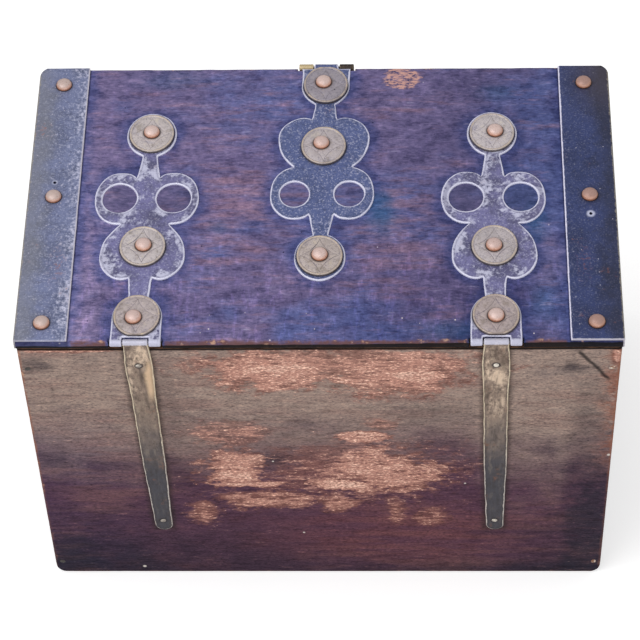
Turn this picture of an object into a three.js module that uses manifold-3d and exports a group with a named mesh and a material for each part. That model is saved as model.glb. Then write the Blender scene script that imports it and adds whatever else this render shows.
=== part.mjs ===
// Funa dansu ship chest: a nailed board box under a thin lid that swings on two strap hinges.
// Millimetres, +Z up. The origin is the middle of the underside and the front faces -Y.
// Left and right are as seen from the front, so right is +X.

import * as THREE from 'three';
import { mergeVertices } from 'three/addons/utils/BufferGeometryUtils.js';
import Module from 'manifold-3d';

const wasm = await Module();
wasm.setup();

// The box, whose back and front boards are nailed over the ends of the side boards
const bodyWidth = 451.5;
const bodyDepth = 272.5;
const bodyHeight = 310;
const wallThickness = 12;
const bottomThickness = 12;
const wornCornerRadius = 6;

// The lid board, which is as wide as the box and a little deeper
const lidThickness = 8;
const lidGap = 1.5;
const lidOverhang = 1.25;
const lidCornerRadius = 9;

// The iron bands folded over the lid's ends, as wide as a share of the box's width.
// Each has an empty nail hole, the left one's first in the list.
const bandWidthShare = 0.0886;
const bandSheet = 1.25;
const bandSetback = 0.75;
const bandNailShares = [0.063, 0.51, 0.933];
const spareHoleRadius = 1;
const spareHoleShares = [0.442, 0.563];

// The sheet of the leaves, straps and hasp, and the pins that their knuckles turn on
const fittingSheet = 1.5;
const pinRadius = 1.125;
const pinGap = 0.25;
const knuckleGap = 0.5;
const notchGap = 1;

// The cut-out leaves on the lid, as wide as a share of the box's width
const leafWidthShare = 0.1794;
const leafBaseWidth = 38.5;
const hingeLeafLength = 225.5;
const haspLeafLength = 219.5;
const eyeWidth = 26;
const eyeLength = 28;
const haspLeafKnuckle = 19.5;

// Where the leaves stand: two hinges either side of the hasp, all a little off the middle,
// the hinges apart by a share of the box's width
const hingeSpacingShare = 0.594;
const hingeShift = 2;
const haspShift = -2.5;

// The straps down the back board
const strapKnuckle = 19;
const strapWidth = 21.5;
const strapEndWidth = 14.5;
const strapLength = 252;
const strapLean = THREE.MathUtils.degToRad(1.1);
const strapNailShares = [0.11, 0.945];

// The roundels under the leaves' nails: the first a reach from the pin, the last a setback
// from the leaf's tip, and the middle one at a share of the leaf's length
const baseRoundelReach = 22.25;
const middleRoundelShare = 0.394;
const tipRoundelSetback = 22.75;
const roundelMargin = 1.75;
const roundelWidth = 35;
const roundelLength = 38.5;
const roundelThickness = 2;
const rimWidth = 1.5;
const rimHeight = 0.5;
const roundelTrim = 1.25;

// The nails with copper domes
const domeRadius = 6.2;
const domeHeight = 4.6;
const domeShankRadius = 1.5;
const domeShankLength = 8.5;

// The small iron nails
const headRadius = 2.6;
const headHeight = 0.8;
const headTopShare = 0.5;
const shankRadius = 1.1;
const boardShankLength = 20;
const strapShankLength = 9;
const boardNailRise = 16.5;
const boardNailDrop = 25;
const bottomNailShare = 0.27;
const shankGap = 0.3;

// The hasp, with a rolled eye that hangs between two eye staples
const haspWidth = 44;
const haspTongue = 19;
const haspLength = 56;
const haspFaceGap = 0.75;
const lockBore = 6.8;
const stapleGap = 1;
const stapleThickness = 4;
const stapleWall = 2.2;
const stapleShankRadius = 1.6;
const stapleDepth = 9;

// Half outline of a leaf, across in shares of its half width, along in shares of its length
const shoulderNeckShare = 0.195;
const neckEndShares = [0.229, 0.264];
const waistShare = 0.15;
const tipShare = 0.49;
const lobeShares = [
  [[0.42, 0.236], [0.81, 0.285], [0.81, 0.356]],
  [[0.81, 0.425], [0.66, 0.46], [0.47, 0.497]],
  [[0.8, 0.492], [1, 0.545], [1, 0.612]],
  [[1, 0.68], [0.78, 0.727], [0.52, 0.727]],
  [[0.37, 0.727], [0.27, 0.722], [0.229, 0.706]],
];
const eyeShares = [0.52, 0.612];

// Half outline of a strap, across in shares of its half width, down in shares of its length
const strapShares = [[0.99, 0.1], [0.9, 0.26], [0.88, 0.42], [0.86, 0.58]];

// Half outline of the hasp: heights of the shoulder's start, its two hollows and its end
const haspShoulderShares = [0.16, 0.36, 0.3, 0.5];

// Each leaf's lean from base to tip, and its nails' places in their roundels
const rightLeanShare = 0.011;
const leftLeanShare = 0.005;
const haspLeanShare = 0.013;
const rightNailShares = [[-0.07, -0.05], [0.02, 0.02], [0, 0.02]];
const leftNailShares = [[0, -0.03], [-0.01, -0.01], [0.07, 0.02]];
const haspNailShares = [[0.05, -0.06], [0.05, -0.06], [0, -0.01]];

// Counts, and how far a cut runs past what it cuts
const roundSides = 24;
const domeSides = 16;
const holeSides = 10;
const nailSides = 8;
const curveSteps = 6;
const strapSteps = 3;
const domeSteps = 4;
const cutOverrun = 1;

// What follows from the sizes above
const lidTop = bodyHeight + lidGap + lidThickness;
const lidDepth = bodyDepth + 2 * lidOverhang;
const bandWidth = bandWidthShare * bodyWidth;
const leafWidth = leafWidthShare * bodyWidth;
const hingeSpacing = hingeSpacingShare * bodyWidth;
const boreRadius = pinRadius + pinGap;
const knuckleRadius = boreRadius + fittingSheet;
const axisHeight = lidTop + fittingSheet - knuckleRadius;
const hingeAxisY = bodyDepth / 2 + fittingSheet / 2;
const haspAxisY = -lidDepth / 2 - haspFaceGap - fittingSheet / 2;
const strapRelief = strapKnuckle / 2 + knuckleGap;
const haspRelief = haspLeafKnuckle / 2 + knuckleGap;
const lockEyeRadius = lockBore / 2 + fittingSheet;
const lockY = haspAxisY + fittingSheet / 2 - lockEyeRadius;
const lockZ = axisHeight - haspLength;

// Each leaf's own frame has its pin along X at the origin and its plate towards +Y
const hingeLeaf = { y: hingeAxisY, turn: -1, length: hingeLeafLength };
const haspLeaf = { y: haspAxisY, turn: 1, length: haspLeafLength };
const leaves = {
  right: { ...hingeLeaf, x: hingeShift + hingeSpacing / 2, lean: rightLeanShare, nails: rightNailShares },
  left: { ...hingeLeaf, x: hingeShift - hingeSpacing / 2, lean: leftLeanShare, nails: leftNailShares },
  hasp: { ...haspLeaf, x: haspShift, lean: haspLeanShare, nails: haspNailShares },
};

// Solids
function toSolid(geometry) {
  const bare = geometry.clone();
  bare.deleteAttribute('normal');
  bare.deleteAttribute('uv');
  const { index, attributes } = mergeVertices(bare);
  const corners = [];
  for (let i = 0; i < index.count; i += 3) {
    const triangle = [index.getX(i), index.getX(i + 1), index.getX(i + 2)];
    if (new Set(triangle).size === triangle.length) corners.push(...triangle);
  }
  return new wasm.Manifold(new wasm.Mesh({
    numProp: 3,
    vertProperties: attributes.position.array.slice(0, attributes.position.count * 3),
    triVerts: new Uint32Array(corners),
  }));
}

function toGeometry(solid) {
  const mesh = solid.getMesh();
  const geometry = new THREE.BufferGeometry();
  geometry.setAttribute('position', new THREE.BufferAttribute(mesh.vertProperties, 3));
  geometry.setIndex(new THREE.BufferAttribute(mesh.triVerts, 1));
  geometry.computeVertexNormals();
  return geometry;
}

function join(first, ...others) {
  return toGeometry(others.reduce((sum, other) => sum.add(toSolid(other)), toSolid(first)));
}

function cut(first, ...tools) {
  return toGeometry(tools.reduce((rest, tool) => rest.subtract(toSolid(tool)), toSolid(first)));
}

function keep(first, within) {
  return toGeometry(toSolid(first).intersect(toSolid(within)));
}

// Forms
function box(from, to) {
  const size = to.map((high, i) => high - from[i]);
  const middle = from.map((low, i) => low + size[i] / 2);
  return new THREE.BoxGeometry(...size).translate(...middle);
}

function barAlongX(radius, length, sides = roundSides) {
  return new THREE.CylinderGeometry(radius, radius, length, sides).rotateZ(Math.PI / 2);
}

function barAlongY(radius, length, sides = roundSides) {
  return new THREE.CylinderGeometry(radius, radius, length, sides);
}

function barAlongZ(radius, length, sides = roundSides) {
  return new THREE.CylinderGeometry(radius, radius, length, sides).rotateX(Math.PI / 2);
}

function slab(shape, thickness) {
  return new THREE.ExtrudeGeometry(shape, { depth: thickness, bevelEnabled: false, curveSegments: curveSteps });
}

// A slab whose outline stands in the XZ plane, with its thickness centred on Y = 0
function uprightSlab(shape, thickness) {
  return slab(shape, thickness).rotateX(Math.PI / 2).translate(0, thickness / 2, 0);
}

// The outline of a half path that runs up one side and ends on the middle line
function mirroredShape(half, steps = curveSteps) {
  const points = half.getPoints(steps);
  const otherSide = points.slice(0, -1).reverse();
  return new THREE.Shape([...points, ...otherSide.map(({ x, y }) => new THREE.Vector2(-x, y))]);
}

function piece(name, geometry, material, position = [0, 0, 0]) {
  const mesh = new THREE.Mesh(geometry, material.clone());
  mesh.name = name;
  mesh.position.set(...position);
  return mesh;
}

// Materials
const finish = (color, roughness, metalness) => new THREE.MeshStandardMaterial({ color, roughness, metalness });
const plumWood = finish('#4c3638', 0.65, 0);
const lidWood = finish('#4b4876', 0.5, 0);
const bandIron = finish('#4d4f70', 0.5, 0.7);
const leafIron = finish('#6f6a86', 0.45, 0.7);
const strapIron = finish('#7a6b5a', 0.45, 0.8);
const discAlloy = finish('#a89f93', 0.45, 0.7);
const copper = finish('#d9a184', 0.35, 0.9);
const nailIron = finish('#3a3638', 0.5, 0.8);
const haspBrass = finish('#a8874a', 0.4, 0.9);

// Nails and their holes: a nail stands on Z = 0 with its head above and its shank below
function domeNail() {
  const profile = new THREE.Path();
  profile.moveTo(0, -domeShankLength);
  profile.lineTo(domeShankRadius, -domeShankLength);
  profile.lineTo(domeShankRadius, 0);
  profile.lineTo(domeRadius, 0);
  const points = profile.getPoints();
  for (let step = 1; step < domeSteps; step += 1) {
    const climb = (step / domeSteps) * (Math.PI / 2);
    points.push(new THREE.Vector2(domeRadius * Math.cos(climb), domeHeight * Math.sin(climb)));
  }
  points.push(new THREE.Vector2(0, domeHeight));
  return new THREE.LatheGeometry(points, domeSides).rotateX(Math.PI / 2);
}

function smallNail(shankLength) {
  const profile = new THREE.Path();
  profile.moveTo(0, -shankLength);
  profile.lineTo(shankRadius, -shankLength);
  profile.lineTo(shankRadius, 0);
  profile.lineTo(headRadius, 0);
  profile.lineTo(headRadius * headTopShare, headHeight);
  profile.lineTo(0, headHeight);
  return new THREE.LatheGeometry(profile.getPoints(), nailSides).rotateX(Math.PI / 2);
}

// A round cut down from a height, centred on x, y
function drill(x, y, top, depth, radius) {
  const length = depth + cutOverrun;
  return barAlongZ(radius, length, holeSides).translate(x, y, top - depth + length / 2);
}

// Boards of the box
function backOrFrontOutline() {
  const half = bodyWidth / 2;
  const shape = new THREE.Shape();
  shape.moveTo(half, bodyHeight);
  shape.lineTo(-half, bodyHeight);
  shape.lineTo(-half, wornCornerRadius);
  shape.absarc(-half + wornCornerRadius, wornCornerRadius, wornCornerRadius, Math.PI, Math.PI * 1.5);
  shape.lineTo(half - wornCornerRadius, 0);
  shape.absarc(half - wornCornerRadius, wornCornerRadius, wornCornerRadius, -Math.PI / 2, 0);
  return shape;
}

function boardNailSpots() {
  const x = bodyWidth / 2 - wallThickness / 2;
  return [boardNailRise, bodyHeight - boardNailDrop].flatMap((z) => [[-x, z], [x, z]]);
}

function faceHoles(spots, face, depth, radius) {
  return spots.map(([x, z]) => barAlongY(radius, depth * 2, holeSides).translate(x, face, z));
}

function strapNailSpots(hinge) {
  return strapNailShares.map((share) => [
    hinge.x - share * strapLength * Math.sin(strapLean),
    axisHeight - share * strapLength * Math.cos(strapLean),
  ]);
}

function stapleSpots() {
  const reach = haspTongue / 2 + stapleGap + stapleThickness / 2;
  return [[haspShift - reach, lockZ], [haspShift + reach, lockZ]];
}

function backBoard() {
  const face = bodyDepth / 2;
  const board = uprightSlab(backOrFrontOutline(), wallThickness).translate(0, face - wallThickness / 2, 0);
  const strapHoles = [...strapNailSpots(leaves.left), ...strapNailSpots(leaves.right)];
  return cut(
    board,
    ...faceHoles(boardNailSpots(), face, wallThickness + cutOverrun, shankRadius + shankGap),
    ...faceHoles(strapHoles, face, strapShankLength - fittingSheet + shankGap, shankRadius + shankGap),
  );
}

function frontBoard() {
  const face = -bodyDepth / 2;
  const board = uprightSlab(backOrFrontOutline(), wallThickness).translate(0, face + wallThickness / 2, 0);
  return cut(
    board,
    ...faceHoles(boardNailSpots(), face, wallThickness + cutOverrun, shankRadius + shankGap),
    ...faceHoles(stapleSpots(), face, stapleDepth + shankGap, stapleShankRadius + shankGap),
  );
}

function bottomNailPlaces() {
  return [-bottomNailShare * bodyDepth, bottomNailShare * bodyDepth];
}

function sideBoard(side) {
  const length = bodyDepth - 2 * wallThickness;
  const within = box(
    [side > 0 ? bodyWidth / 2 - wallThickness : -bodyWidth, -length / 2, 0],
    [side > 0 ? bodyWidth : -bodyWidth / 2 + wallThickness, length / 2, bodyHeight],
  );
  const nailDepth = boardShankLength - wallThickness + shankGap;
  const endHoles = [1, -1].flatMap((end) => faceHoles(
    boardNailSpots(), end * length / 2, nailDepth, shankRadius + shankGap,
  ));
  const bottomHoles = bottomNailPlaces().map((y) => barAlongX(
    shankRadius + shankGap, 2 * (wallThickness + cutOverrun), holeSides,
  ).translate(side * bodyWidth / 2, y, bottomThickness / 2));
  return cut(keep(uprightSlab(backOrFrontOutline(), length), within), ...endHoles, ...bottomHoles);
}

function bottomBoard() {
  const x = bodyWidth / 2 - wallThickness;
  const y = bodyDepth / 2 - wallThickness;
  const nailDepth = boardShankLength - wallThickness + shankGap;
  const holes = [-x, x].flatMap((end) => bottomNailPlaces().map((place) => barAlongX(
    shankRadius + shankGap, 2 * nailDepth, holeSides,
  ).translate(end, place, bottomThickness / 2)));
  return cut(box([-x, -y, 0], [x, y, bottomThickness]), ...holes);
}

// Leaves, roundels and pins, each in its leaf's own frame
function leafOutline(name) {
  const { length } = leaves[name];
  const across = (share) => share * leafWidth / 2;
  const along = (share) => share * length;
  const shoulderHalf = leafBaseWidth / 2;
  const shoulderReach = roundelLength / 2 + roundelMargin;
  const [neckAcross, neckAlong] = neckEndShares;
  const tipCentre = length - tipRoundelSetback;
  const half = new THREE.Path();
  half.moveTo(shoulderHalf, 0);
  half.lineTo(shoulderHalf, baseRoundelReach);
  half.absellipse(
    0, baseRoundelReach, shoulderHalf, shoulderReach,
    0, Math.acos(across(shoulderNeckShare) / shoulderHalf),
  );
  half.lineTo(across(neckAcross), along(neckAlong));
  for (const [first, second, end] of lobeShares) {
    half.bezierCurveTo(
      across(first[0]), along(first[1]), across(second[0]), along(second[1]), across(end[0]), along(end[1]),
    );
  }
  half.absellipse(
    0, tipCentre, across(tipShare), tipRoundelSetback,
    -Math.acos(waistShare / tipShare), Math.PI / 2,
  );
  const shape = mirroredShape(half);
  for (const side of [-1, 1]) {
    const eye = new THREE.Path();
    eye.absellipse(side * across(eyeShares[0]), along(eyeShares[1]), eyeWidth / 2, eyeLength / 2, 0, Math.PI * 2);
    shape.holes.push(eye);
  }
  return shape;
}

function roundelSpot(name, order) {
  const { length, lean } = leaves[name];
  const along = [baseRoundelReach, middleRoundelShare * length, length - tipRoundelSetback][order];
  return [lean * along, along];
}

function nailSpot(name, order) {
  const [x, y] = roundelSpot(name, order);
  const [across, along] = leaves[name].nails[order];
  return [x + across * roundelWidth, y + along * roundelLength];
}

function leaf(name) {
  const lean = new THREE.Matrix4().makeShear(0, 0, leaves[name].lean, 0, 0, 0);
  const plate = slab(leafOutline(name), fittingSheet).applyMatrix4(lean)
    .translate(0, 0, knuckleRadius - fittingSheet);
  const isHasp = name === 'hasp';
  const barrel = barAlongX(knuckleRadius, isHasp ? haspLeafKnuckle : leafBaseWidth);
  const relief = knuckleRadius + knuckleGap;
  const reliefs = isHasp
    ? [
      box([-leafWidth, -relief, -relief], [-haspLeafKnuckle / 2, relief, relief]),
      box([haspLeafKnuckle / 2, -relief, -relief], [leafWidth, relief, relief]),
    ]
    : [box([-strapRelief, -relief, -relief], [strapRelief, relief, relief])];
  const nailHoles = leaves[name].nails.map((shares, order) => drill(
    ...nailSpot(name, order), knuckleRadius, fittingSheet + cutOverrun, domeShankRadius + shankGap,
  ));
  return cut(join(plate, barrel), barAlongX(boreRadius, leafWidth), ...reliefs, ...nailHoles);
}

function pin(name) {
  return barAlongX(pinRadius, name === 'hasp' ? haspWidth : leafBaseWidth);
}

function roundel(name, order) {
  const radius = roundelWidth / 2;
  const profile = new THREE.Path();
  profile.moveTo(0, 0);
  profile.lineTo(radius, 0);
  profile.lineTo(radius, roundelThickness);
  profile.lineTo(radius - rimWidth / 2, roundelThickness + rimHeight);
  profile.lineTo(radius - rimWidth, roundelThickness);
  profile.lineTo(0, roundelThickness);
  const disc = new THREE.LatheGeometry(profile.getPoints(), roundSides).rotateX(Math.PI / 2)
    .scale(1, roundelLength / roundelWidth, 1);
  const [x, y] = roundelSpot(name, order);
  const [nailX, nailY] = nailSpot(name, order);
  const hole = drill(
    nailX - x, nailY - y, roundelThickness, roundelThickness + cutOverrun, domeShankRadius + shankGap,
  );
  const straightEdge = knuckleRadius + roundelTrim - y;
  const trim = box([-radius, -y, -cutOverrun], [radius, straightEdge, roundelThickness + rimHeight + cutOverrun]);
  return order === 0 ? cut(disc, hole, trim) : cut(disc, hole);
}

function leafSet(name) {
  const place = leaves[name];
  const group = new THREE.Group();
  group.position.set(place.x, place.y, axisHeight);
  group.rotation.z = place.turn < 0 ? Math.PI : 0;
  group.add(piece(`${name}_leaf`, leaf(name), leafIron));
  group.add(piece(`${name}_pin`, pin(name), nailIron));
  ['base', 'middle', 'tip'].forEach((spot, order) => {
    const top = knuckleRadius + roundelThickness;
    const [x, y] = roundelSpot(name, order);
    group.add(piece(`${name}_roundel_${spot}`, roundel(name, order), discAlloy, [x, y, knuckleRadius]));
    group.add(piece(`${name}_dome_${spot}`, domeNail(), copper, [...nailSpot(name, order), top]));
  });
  return group;
}

// The lid board and its bands
function lidOutline(grow) {
  const half = bodyWidth / 2;
  const front = -lidDepth / 2;
  const centre = half - lidCornerRadius;
  const radius = lidCornerRadius + grow;
  const shape = new THREE.Shape();
  shape.moveTo(half + grow, lidDepth / 2);
  shape.lineTo(-half - grow, lidDepth / 2);
  shape.absarc(-centre, front + lidCornerRadius, radius, Math.PI, Math.PI * 1.5);
  shape.absarc(centre, front + lidCornerRadius, radius, -Math.PI / 2, 0);
  return shape;
}

function bandSpots(side) {
  const x = side * (bodyWidth / 2 + bandSheet - bandWidth / 2);
  return bandNailShares.map((share) => [x, lidDepth / 2 - share * lidDepth]);
}

function lidPlace(name, [x, y]) {
  const { x: leafX, y: leafY, turn } = leaves[name];
  return [leafX + turn * x, leafY + turn * y];
}

function lidNotch(name, width) {
  const { x, y, turn } = leaves[name];
  const inner = y + turn * (knuckleRadius + knuckleGap);
  const outer = y - turn * (knuckleRadius + lidThickness);
  const half = width / 2 + notchGap;
  return box(
    [x - half, Math.min(inner, outer), bodyHeight],
    [x + half, Math.max(inner, outer), lidTop + cutOverrun],
  );
}

function lidBoard() {
  const holeRadius = domeShankRadius + shankGap;
  const leafDepth = domeShankLength - roundelThickness - fittingSheet + shankGap;
  const bandDepth = domeShankLength - bandSheet + shankGap;
  const leafHoles = Object.keys(leaves).flatMap((name) => leaves[name].nails.map((shares, order) => drill(
    ...lidPlace(name, nailSpot(name, order)), lidTop, leafDepth, holeRadius,
  )));
  const bandHoles = [...bandSpots(-1), ...bandSpots(1)].map((spot) => drill(...spot, lidTop, bandDepth, holeRadius));
  return cut(
    slab(lidOutline(0), lidThickness).translate(0, 0, lidTop - lidThickness),
    lidNotch('right', leafBaseWidth),
    lidNotch('left', leafBaseWidth),
    lidNotch('hasp', haspWidth),
    ...leafHoles,
    ...bandHoles,
  );
}

function lidBand(side) {
  const top = lidTop + bandSheet;
  const inner = bodyWidth / 2 + bandSheet - bandWidth;
  const outer = bodyWidth / 2 + bandSheet + cutOverrun;
  const cap = slab(lidOutline(bandSheet), lidThickness + bandSheet).translate(0, 0, lidTop - lidThickness);
  const within = box(
    [side > 0 ? inner : -outer, -lidDepth / 2, lidTop - lidThickness],
    [side > 0 ? outer : -inner, lidDepth / 2 - bandSetback, top],
  );
  const wood = slab(lidOutline(0), lidThickness + cutOverrun).translate(0, 0, lidTop - lidThickness - cutOverrun);
  const depth = bandSheet + cutOverrun;
  const [leftShare, rightShare] = spareHoleShares;
  const spareY = lidDepth / 2 - (side > 0 ? rightShare : leftShare) * lidDepth;
  return cut(
    keep(cap, within),
    wood,
    ...bandSpots(side).map((spot) => drill(...spot, top, depth, domeShankRadius + shankGap)),
    drill(bandSpots(side)[0][0], spareY, top, depth, spareHoleRadius),
  );
}

// A strap in its pin's frame, with its plate hanging down to -Z
function strap() {
  const half = new THREE.Path();
  const endRadius = strapEndWidth / 2;
  half.moveTo(strapKnuckle / 2, 0);
  half.splineThru([
    ...strapShares.map(([across, down]) => new THREE.Vector2(across * strapWidth / 2, -down * strapLength)),
    new THREE.Vector2(endRadius, endRadius - strapLength),
  ]);
  half.absarc(0, endRadius - strapLength, endRadius, 0, -Math.PI / 2, true);
  const plate = uprightSlab(mirroredShape(half, strapSteps), fittingSheet).rotateY(strapLean);
  const holes = strapNailShares.map((share) => barAlongY(shankRadius + shankGap, strapWidth, holeSides)
    .translate(0, 0, -share * strapLength).rotateY(strapLean));
  return cut(join(plate, barAlongX(knuckleRadius, strapKnuckle)), barAlongX(boreRadius, strapWidth), ...holes);
}

// The hasp in its pin's frame, hanging down to its lock eye
function hasp() {
  const [edge, hollowOut, hollowIn, tongue] = haspShoulderShares.map((share) => -share * haspLength);
  const wide = haspWidth / 2;
  const narrow = haspTongue / 2;
  const half = new THREE.Path();
  half.moveTo(wide, 0);
  half.lineTo(wide, edge);
  half.bezierCurveTo(wide, hollowOut, narrow, hollowIn, narrow, tongue);
  half.lineTo(narrow, -haspLength);
  half.lineTo(0, -haspLength);
  const plate = uprightSlab(mirroredShape(half), fittingSheet);
  const eyeY = lockY - haspAxisY;
  const eye = barAlongX(lockEyeRadius, haspTongue).translate(0, eyeY, -haspLength);
  const eyeBore = barAlongX(lockBore / 2, haspWidth).translate(0, eyeY, -haspLength);
  const relief = knuckleRadius + knuckleGap;
  return cut(
    join(plate, eye, barAlongX(knuckleRadius, haspWidth)),
    eyeBore,
    barAlongX(boreRadius, haspWidth + cutOverrun),
    box([-haspRelief, -relief, -relief], [haspRelief, relief, relief]),
  );
}

// An eye staple, with the middle of its bore at the origin and its shank towards +Y
function staple() {
  const shankEnd = -bodyDepth / 2 + stapleDepth - lockY;
  const shank = barAlongY(stapleShankRadius, shankEnd - lockBore / 2, holeSides)
    .translate(0, (shankEnd + lockBore / 2) / 2, 0);
  const ring = barAlongX(lockBore / 2 + stapleWall, stapleThickness);
  return cut(join(ring, shank), barAlongX(lockBore / 2, stapleThickness + cutOverrun));
}

// Assembly
function facingNail(name, shankLength, position, turn) {
  const nail = piece(name, smallNail(shankLength), nailIron, position);
  nail.rotation.set(...turn);
  return nail;
}

const quarter = Math.PI / 2;
const heights = ['low_left', 'low_right', 'high_left', 'high_right'];

function chestGroup() {
  const group = new THREE.Group();
  group.add(piece('back_board', backBoard(), plumWood));
  group.add(piece('front_board', frontBoard(), plumWood));
  group.add(piece('left_side_board', sideBoard(-1), plumWood));
  group.add(piece('right_side_board', sideBoard(1), plumWood));
  group.add(piece('bottom_board', bottomBoard(), plumWood));
  boardNailSpots().forEach(([x, z], i) => {
    const back = [x, bodyDepth / 2, z];
    const front = [x, -bodyDepth / 2, z];
    group.add(facingNail(`back_nail_${heights[i]}`, boardShankLength, back, [-quarter, 0, 0]));
    group.add(facingNail(`front_nail_${heights[i]}`, boardShankLength, front, [quarter, 0, 0]));
  });
  bottomNailPlaces().forEach((y, i) => {
    const row = i === 0 ? 'front' : 'back';
    const right = [bodyWidth / 2, y, bottomThickness / 2];
    const left = [-bodyWidth / 2, y, bottomThickness / 2];
    group.add(facingNail(`bottom_nail_right_${row}`, boardShankLength, right, [0, quarter, 0]));
    group.add(facingNail(`bottom_nail_left_${row}`, boardShankLength, left, [0, -quarter, 0]));
  });
  for (const name of ['left', 'right']) {
    const hinge = leaves[name];
    group.add(piece(`${name}_strap`, strap(), strapIron, [hinge.x, hinge.y, axisHeight]));
    strapNailSpots(hinge).forEach(([x, z], i) => {
      const spot = [x, hinge.y + fittingSheet / 2, z];
      const row = i === 0 ? 'high' : 'low';
      group.add(facingNail(`${name}_strap_nail_${row}`, strapShankLength, spot, [-quarter, 0, 0]));
    });
  }
  stapleSpots().forEach(([x, z], i) => {
    group.add(piece(i === 0 ? 'left_eye_staple' : 'right_eye_staple', staple(), haspBrass, [x, lockY, z]));
  });
  return group;
}

function lidGroup() {
  const group = new THREE.Group();
  group.add(piece('lid_board', lidBoard(), lidWood));
  for (const [name, side] of [['left', -1], ['right', 1]]) {
    group.add(piece(`${name}_band`, lidBand(side), bandIron));
    bandSpots(side).forEach(([x, y], i) => {
      const row = ['back', 'middle', 'front'][i];
      group.add(piece(`${name}_band_dome_${row}`, domeNail(), copper, [x, y, lidTop + bandSheet]));
    });
  }
  for (const name of Object.keys(leaves)) group.add(leafSet(name));
  return group;
}

const chest = new THREE.Group();
chest.add(chestGroup());
chest.add(lidGroup());
chest.add(piece('hasp', hasp(), haspBrass, [haspShift, haspAxisY, axisHeight]));

export default chest;
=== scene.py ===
"""Looks of a nailed ship chest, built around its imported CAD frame.

The boards are worn and rounded, the lid is lacquered wood, the leaves, straps and hasp are bent out of sheet,
and the roundels and nails stand where the CAD has them. Lengths in constants and tables are millimetres.
"""

import math
from functools import reduce

import bmesh
import bpy
import numpy as np
from bpy.props import FloatProperty, FloatVectorProperty, IntProperty, PointerProperty
from mathutils import Matrix, Vector, noise
from mathutils.geometry import delaunay_2d_cdt


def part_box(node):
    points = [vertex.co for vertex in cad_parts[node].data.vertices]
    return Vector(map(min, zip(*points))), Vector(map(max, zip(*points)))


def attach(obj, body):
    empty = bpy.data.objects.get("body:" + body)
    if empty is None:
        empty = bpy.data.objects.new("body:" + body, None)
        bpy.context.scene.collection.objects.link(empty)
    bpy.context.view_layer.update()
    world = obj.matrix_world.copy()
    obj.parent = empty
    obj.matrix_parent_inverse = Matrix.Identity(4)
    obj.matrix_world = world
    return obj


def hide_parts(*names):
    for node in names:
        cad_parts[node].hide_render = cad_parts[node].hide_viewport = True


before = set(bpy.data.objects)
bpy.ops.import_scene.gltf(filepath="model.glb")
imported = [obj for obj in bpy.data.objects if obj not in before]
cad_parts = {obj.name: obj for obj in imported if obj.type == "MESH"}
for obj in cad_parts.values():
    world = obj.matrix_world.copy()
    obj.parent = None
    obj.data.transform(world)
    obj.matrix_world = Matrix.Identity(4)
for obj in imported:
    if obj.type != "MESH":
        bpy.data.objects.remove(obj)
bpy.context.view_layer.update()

bl_info = {
    "name": "Ship chest",
    "version": (1, 0, 0),
    "blender": (4, 5, 0),
    "location": "3D View > Sidebar > Ship Chest",
    "description": "Worn boards, cut-out iron leaves, roundels, domed nails and hasp of a nailed ship chest",
    "category": "Object",
}

MM = 0.001

# Sheet fittings and their pins
SHEET = 1.5
MID_RADIUS = 2.125
RELIEF = 3.375
KNUCKLE_TURN = math.radians(290)
LEAF_CURL = -KNUCKLE_TURN * MID_RADIUS

# Straps and hasp: where their roll begins, how far it goes round, and from where down they hang straight
HANGING_CLOSE = math.radians(50)
HANGING_TURN = math.radians(320)
JOGGLE_DEPTH = 4.6

# Steps of the extra points in rolled parts
ROLL_STEP = 0.5
ROLL_ACROSS = 1.8

# The leaves: half outline across in shares of the half width, along in shares of the length
LEAF_WIDTH = 81.0
LEAF_BASE = 38.5
STRAP_RELIEF = 10.0
HASP_LEAF_KNUCKLE = 19.5
BASE_REACH = 22.25
SHOULDER_REACH = 21.0
SHOULDER_NECK = 0.195
HINGE_LOBES = (
    ((0.42, 0.236), (0.81, 0.285), (0.81, 0.356)),
    ((0.81, 0.425), (0.66, 0.46), (0.47, 0.497)),
    ((0.8, 0.492), (1, 0.545), (1, 0.612)),
    ((1, 0.68), (0.78, 0.727), (0.52, 0.727)),
    ((0.37, 0.727), (0.27, 0.722), (0.229, 0.706)),
)
HASP_LOBES = (
    ((0.45, 0.234), (0.89, 0.276), (0.89, 0.35)),
    ((0.89, 0.42), (0.74, 0.458), (0.57, 0.486)),
    ((0.84, 0.496), (1, 0.545), (1, 0.612)),
    ((1, 0.68), (0.78, 0.727), (0.52, 0.727)),
    ((0.39, 0.727), (0.29, 0.722), (0.245, 0.706)),
)
HINGE_LEAF = {"length": 225.5, "turn": -1, "neck": (0.229, 0.264), "lobes": HINGE_LOBES, "eye": (26.0, 28.0)}
HASP_LEAF = {"length": 219.5, "turn": 1, "neck": (0.25, 0.26), "lobes": HASP_LOBES, "eye": (22.0, 24.5)}
LEAVES = {
    "right": {**HINGE_LEAF, "lean": 0.011},
    "left": {**HINGE_LEAF, "lean": 0.005},
    "hasp": {**HASP_LEAF, "lean": 0.013},
}
EYE_PLACE = (0.52, 0.612)
TIP_SETBACK = 22.75
TIP_WAIST = 0.15
TIP_HALF = 0.49

# The straps: half width and depth below the pin
STRAP_PROFILE = (
    (9.5, 3.4), (10.64, 25.2), (9.68, 65.5), (9.46, 105.8), (9.25, 146.2), (7.4, 235.0), (7.25, 244.75),
)
STRAP_LENGTH = 252.0
STRAP_END = 7.25
STRAP_KNUCKLE = 19.0
STRAP_LEAN = math.radians(1.1)

# The hasp and its staples
HASP_HALF = 22.0
HASP_TONGUE = 9.5
HASP_LENGTH = 56.0
HASP_RELIEF = 10.25
HASP_SHOULDERS = (0.16, 0.36, 0.3, 0.5)
EYE_MID_RADIUS = 4.15
EYE_TURN = math.radians(308)
STAPLE_BORE = 3.4
STAPLE_OUTER = 5.6
STAPLE_HALF = 2.0
STAPLE_SHANK = 1.6

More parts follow.
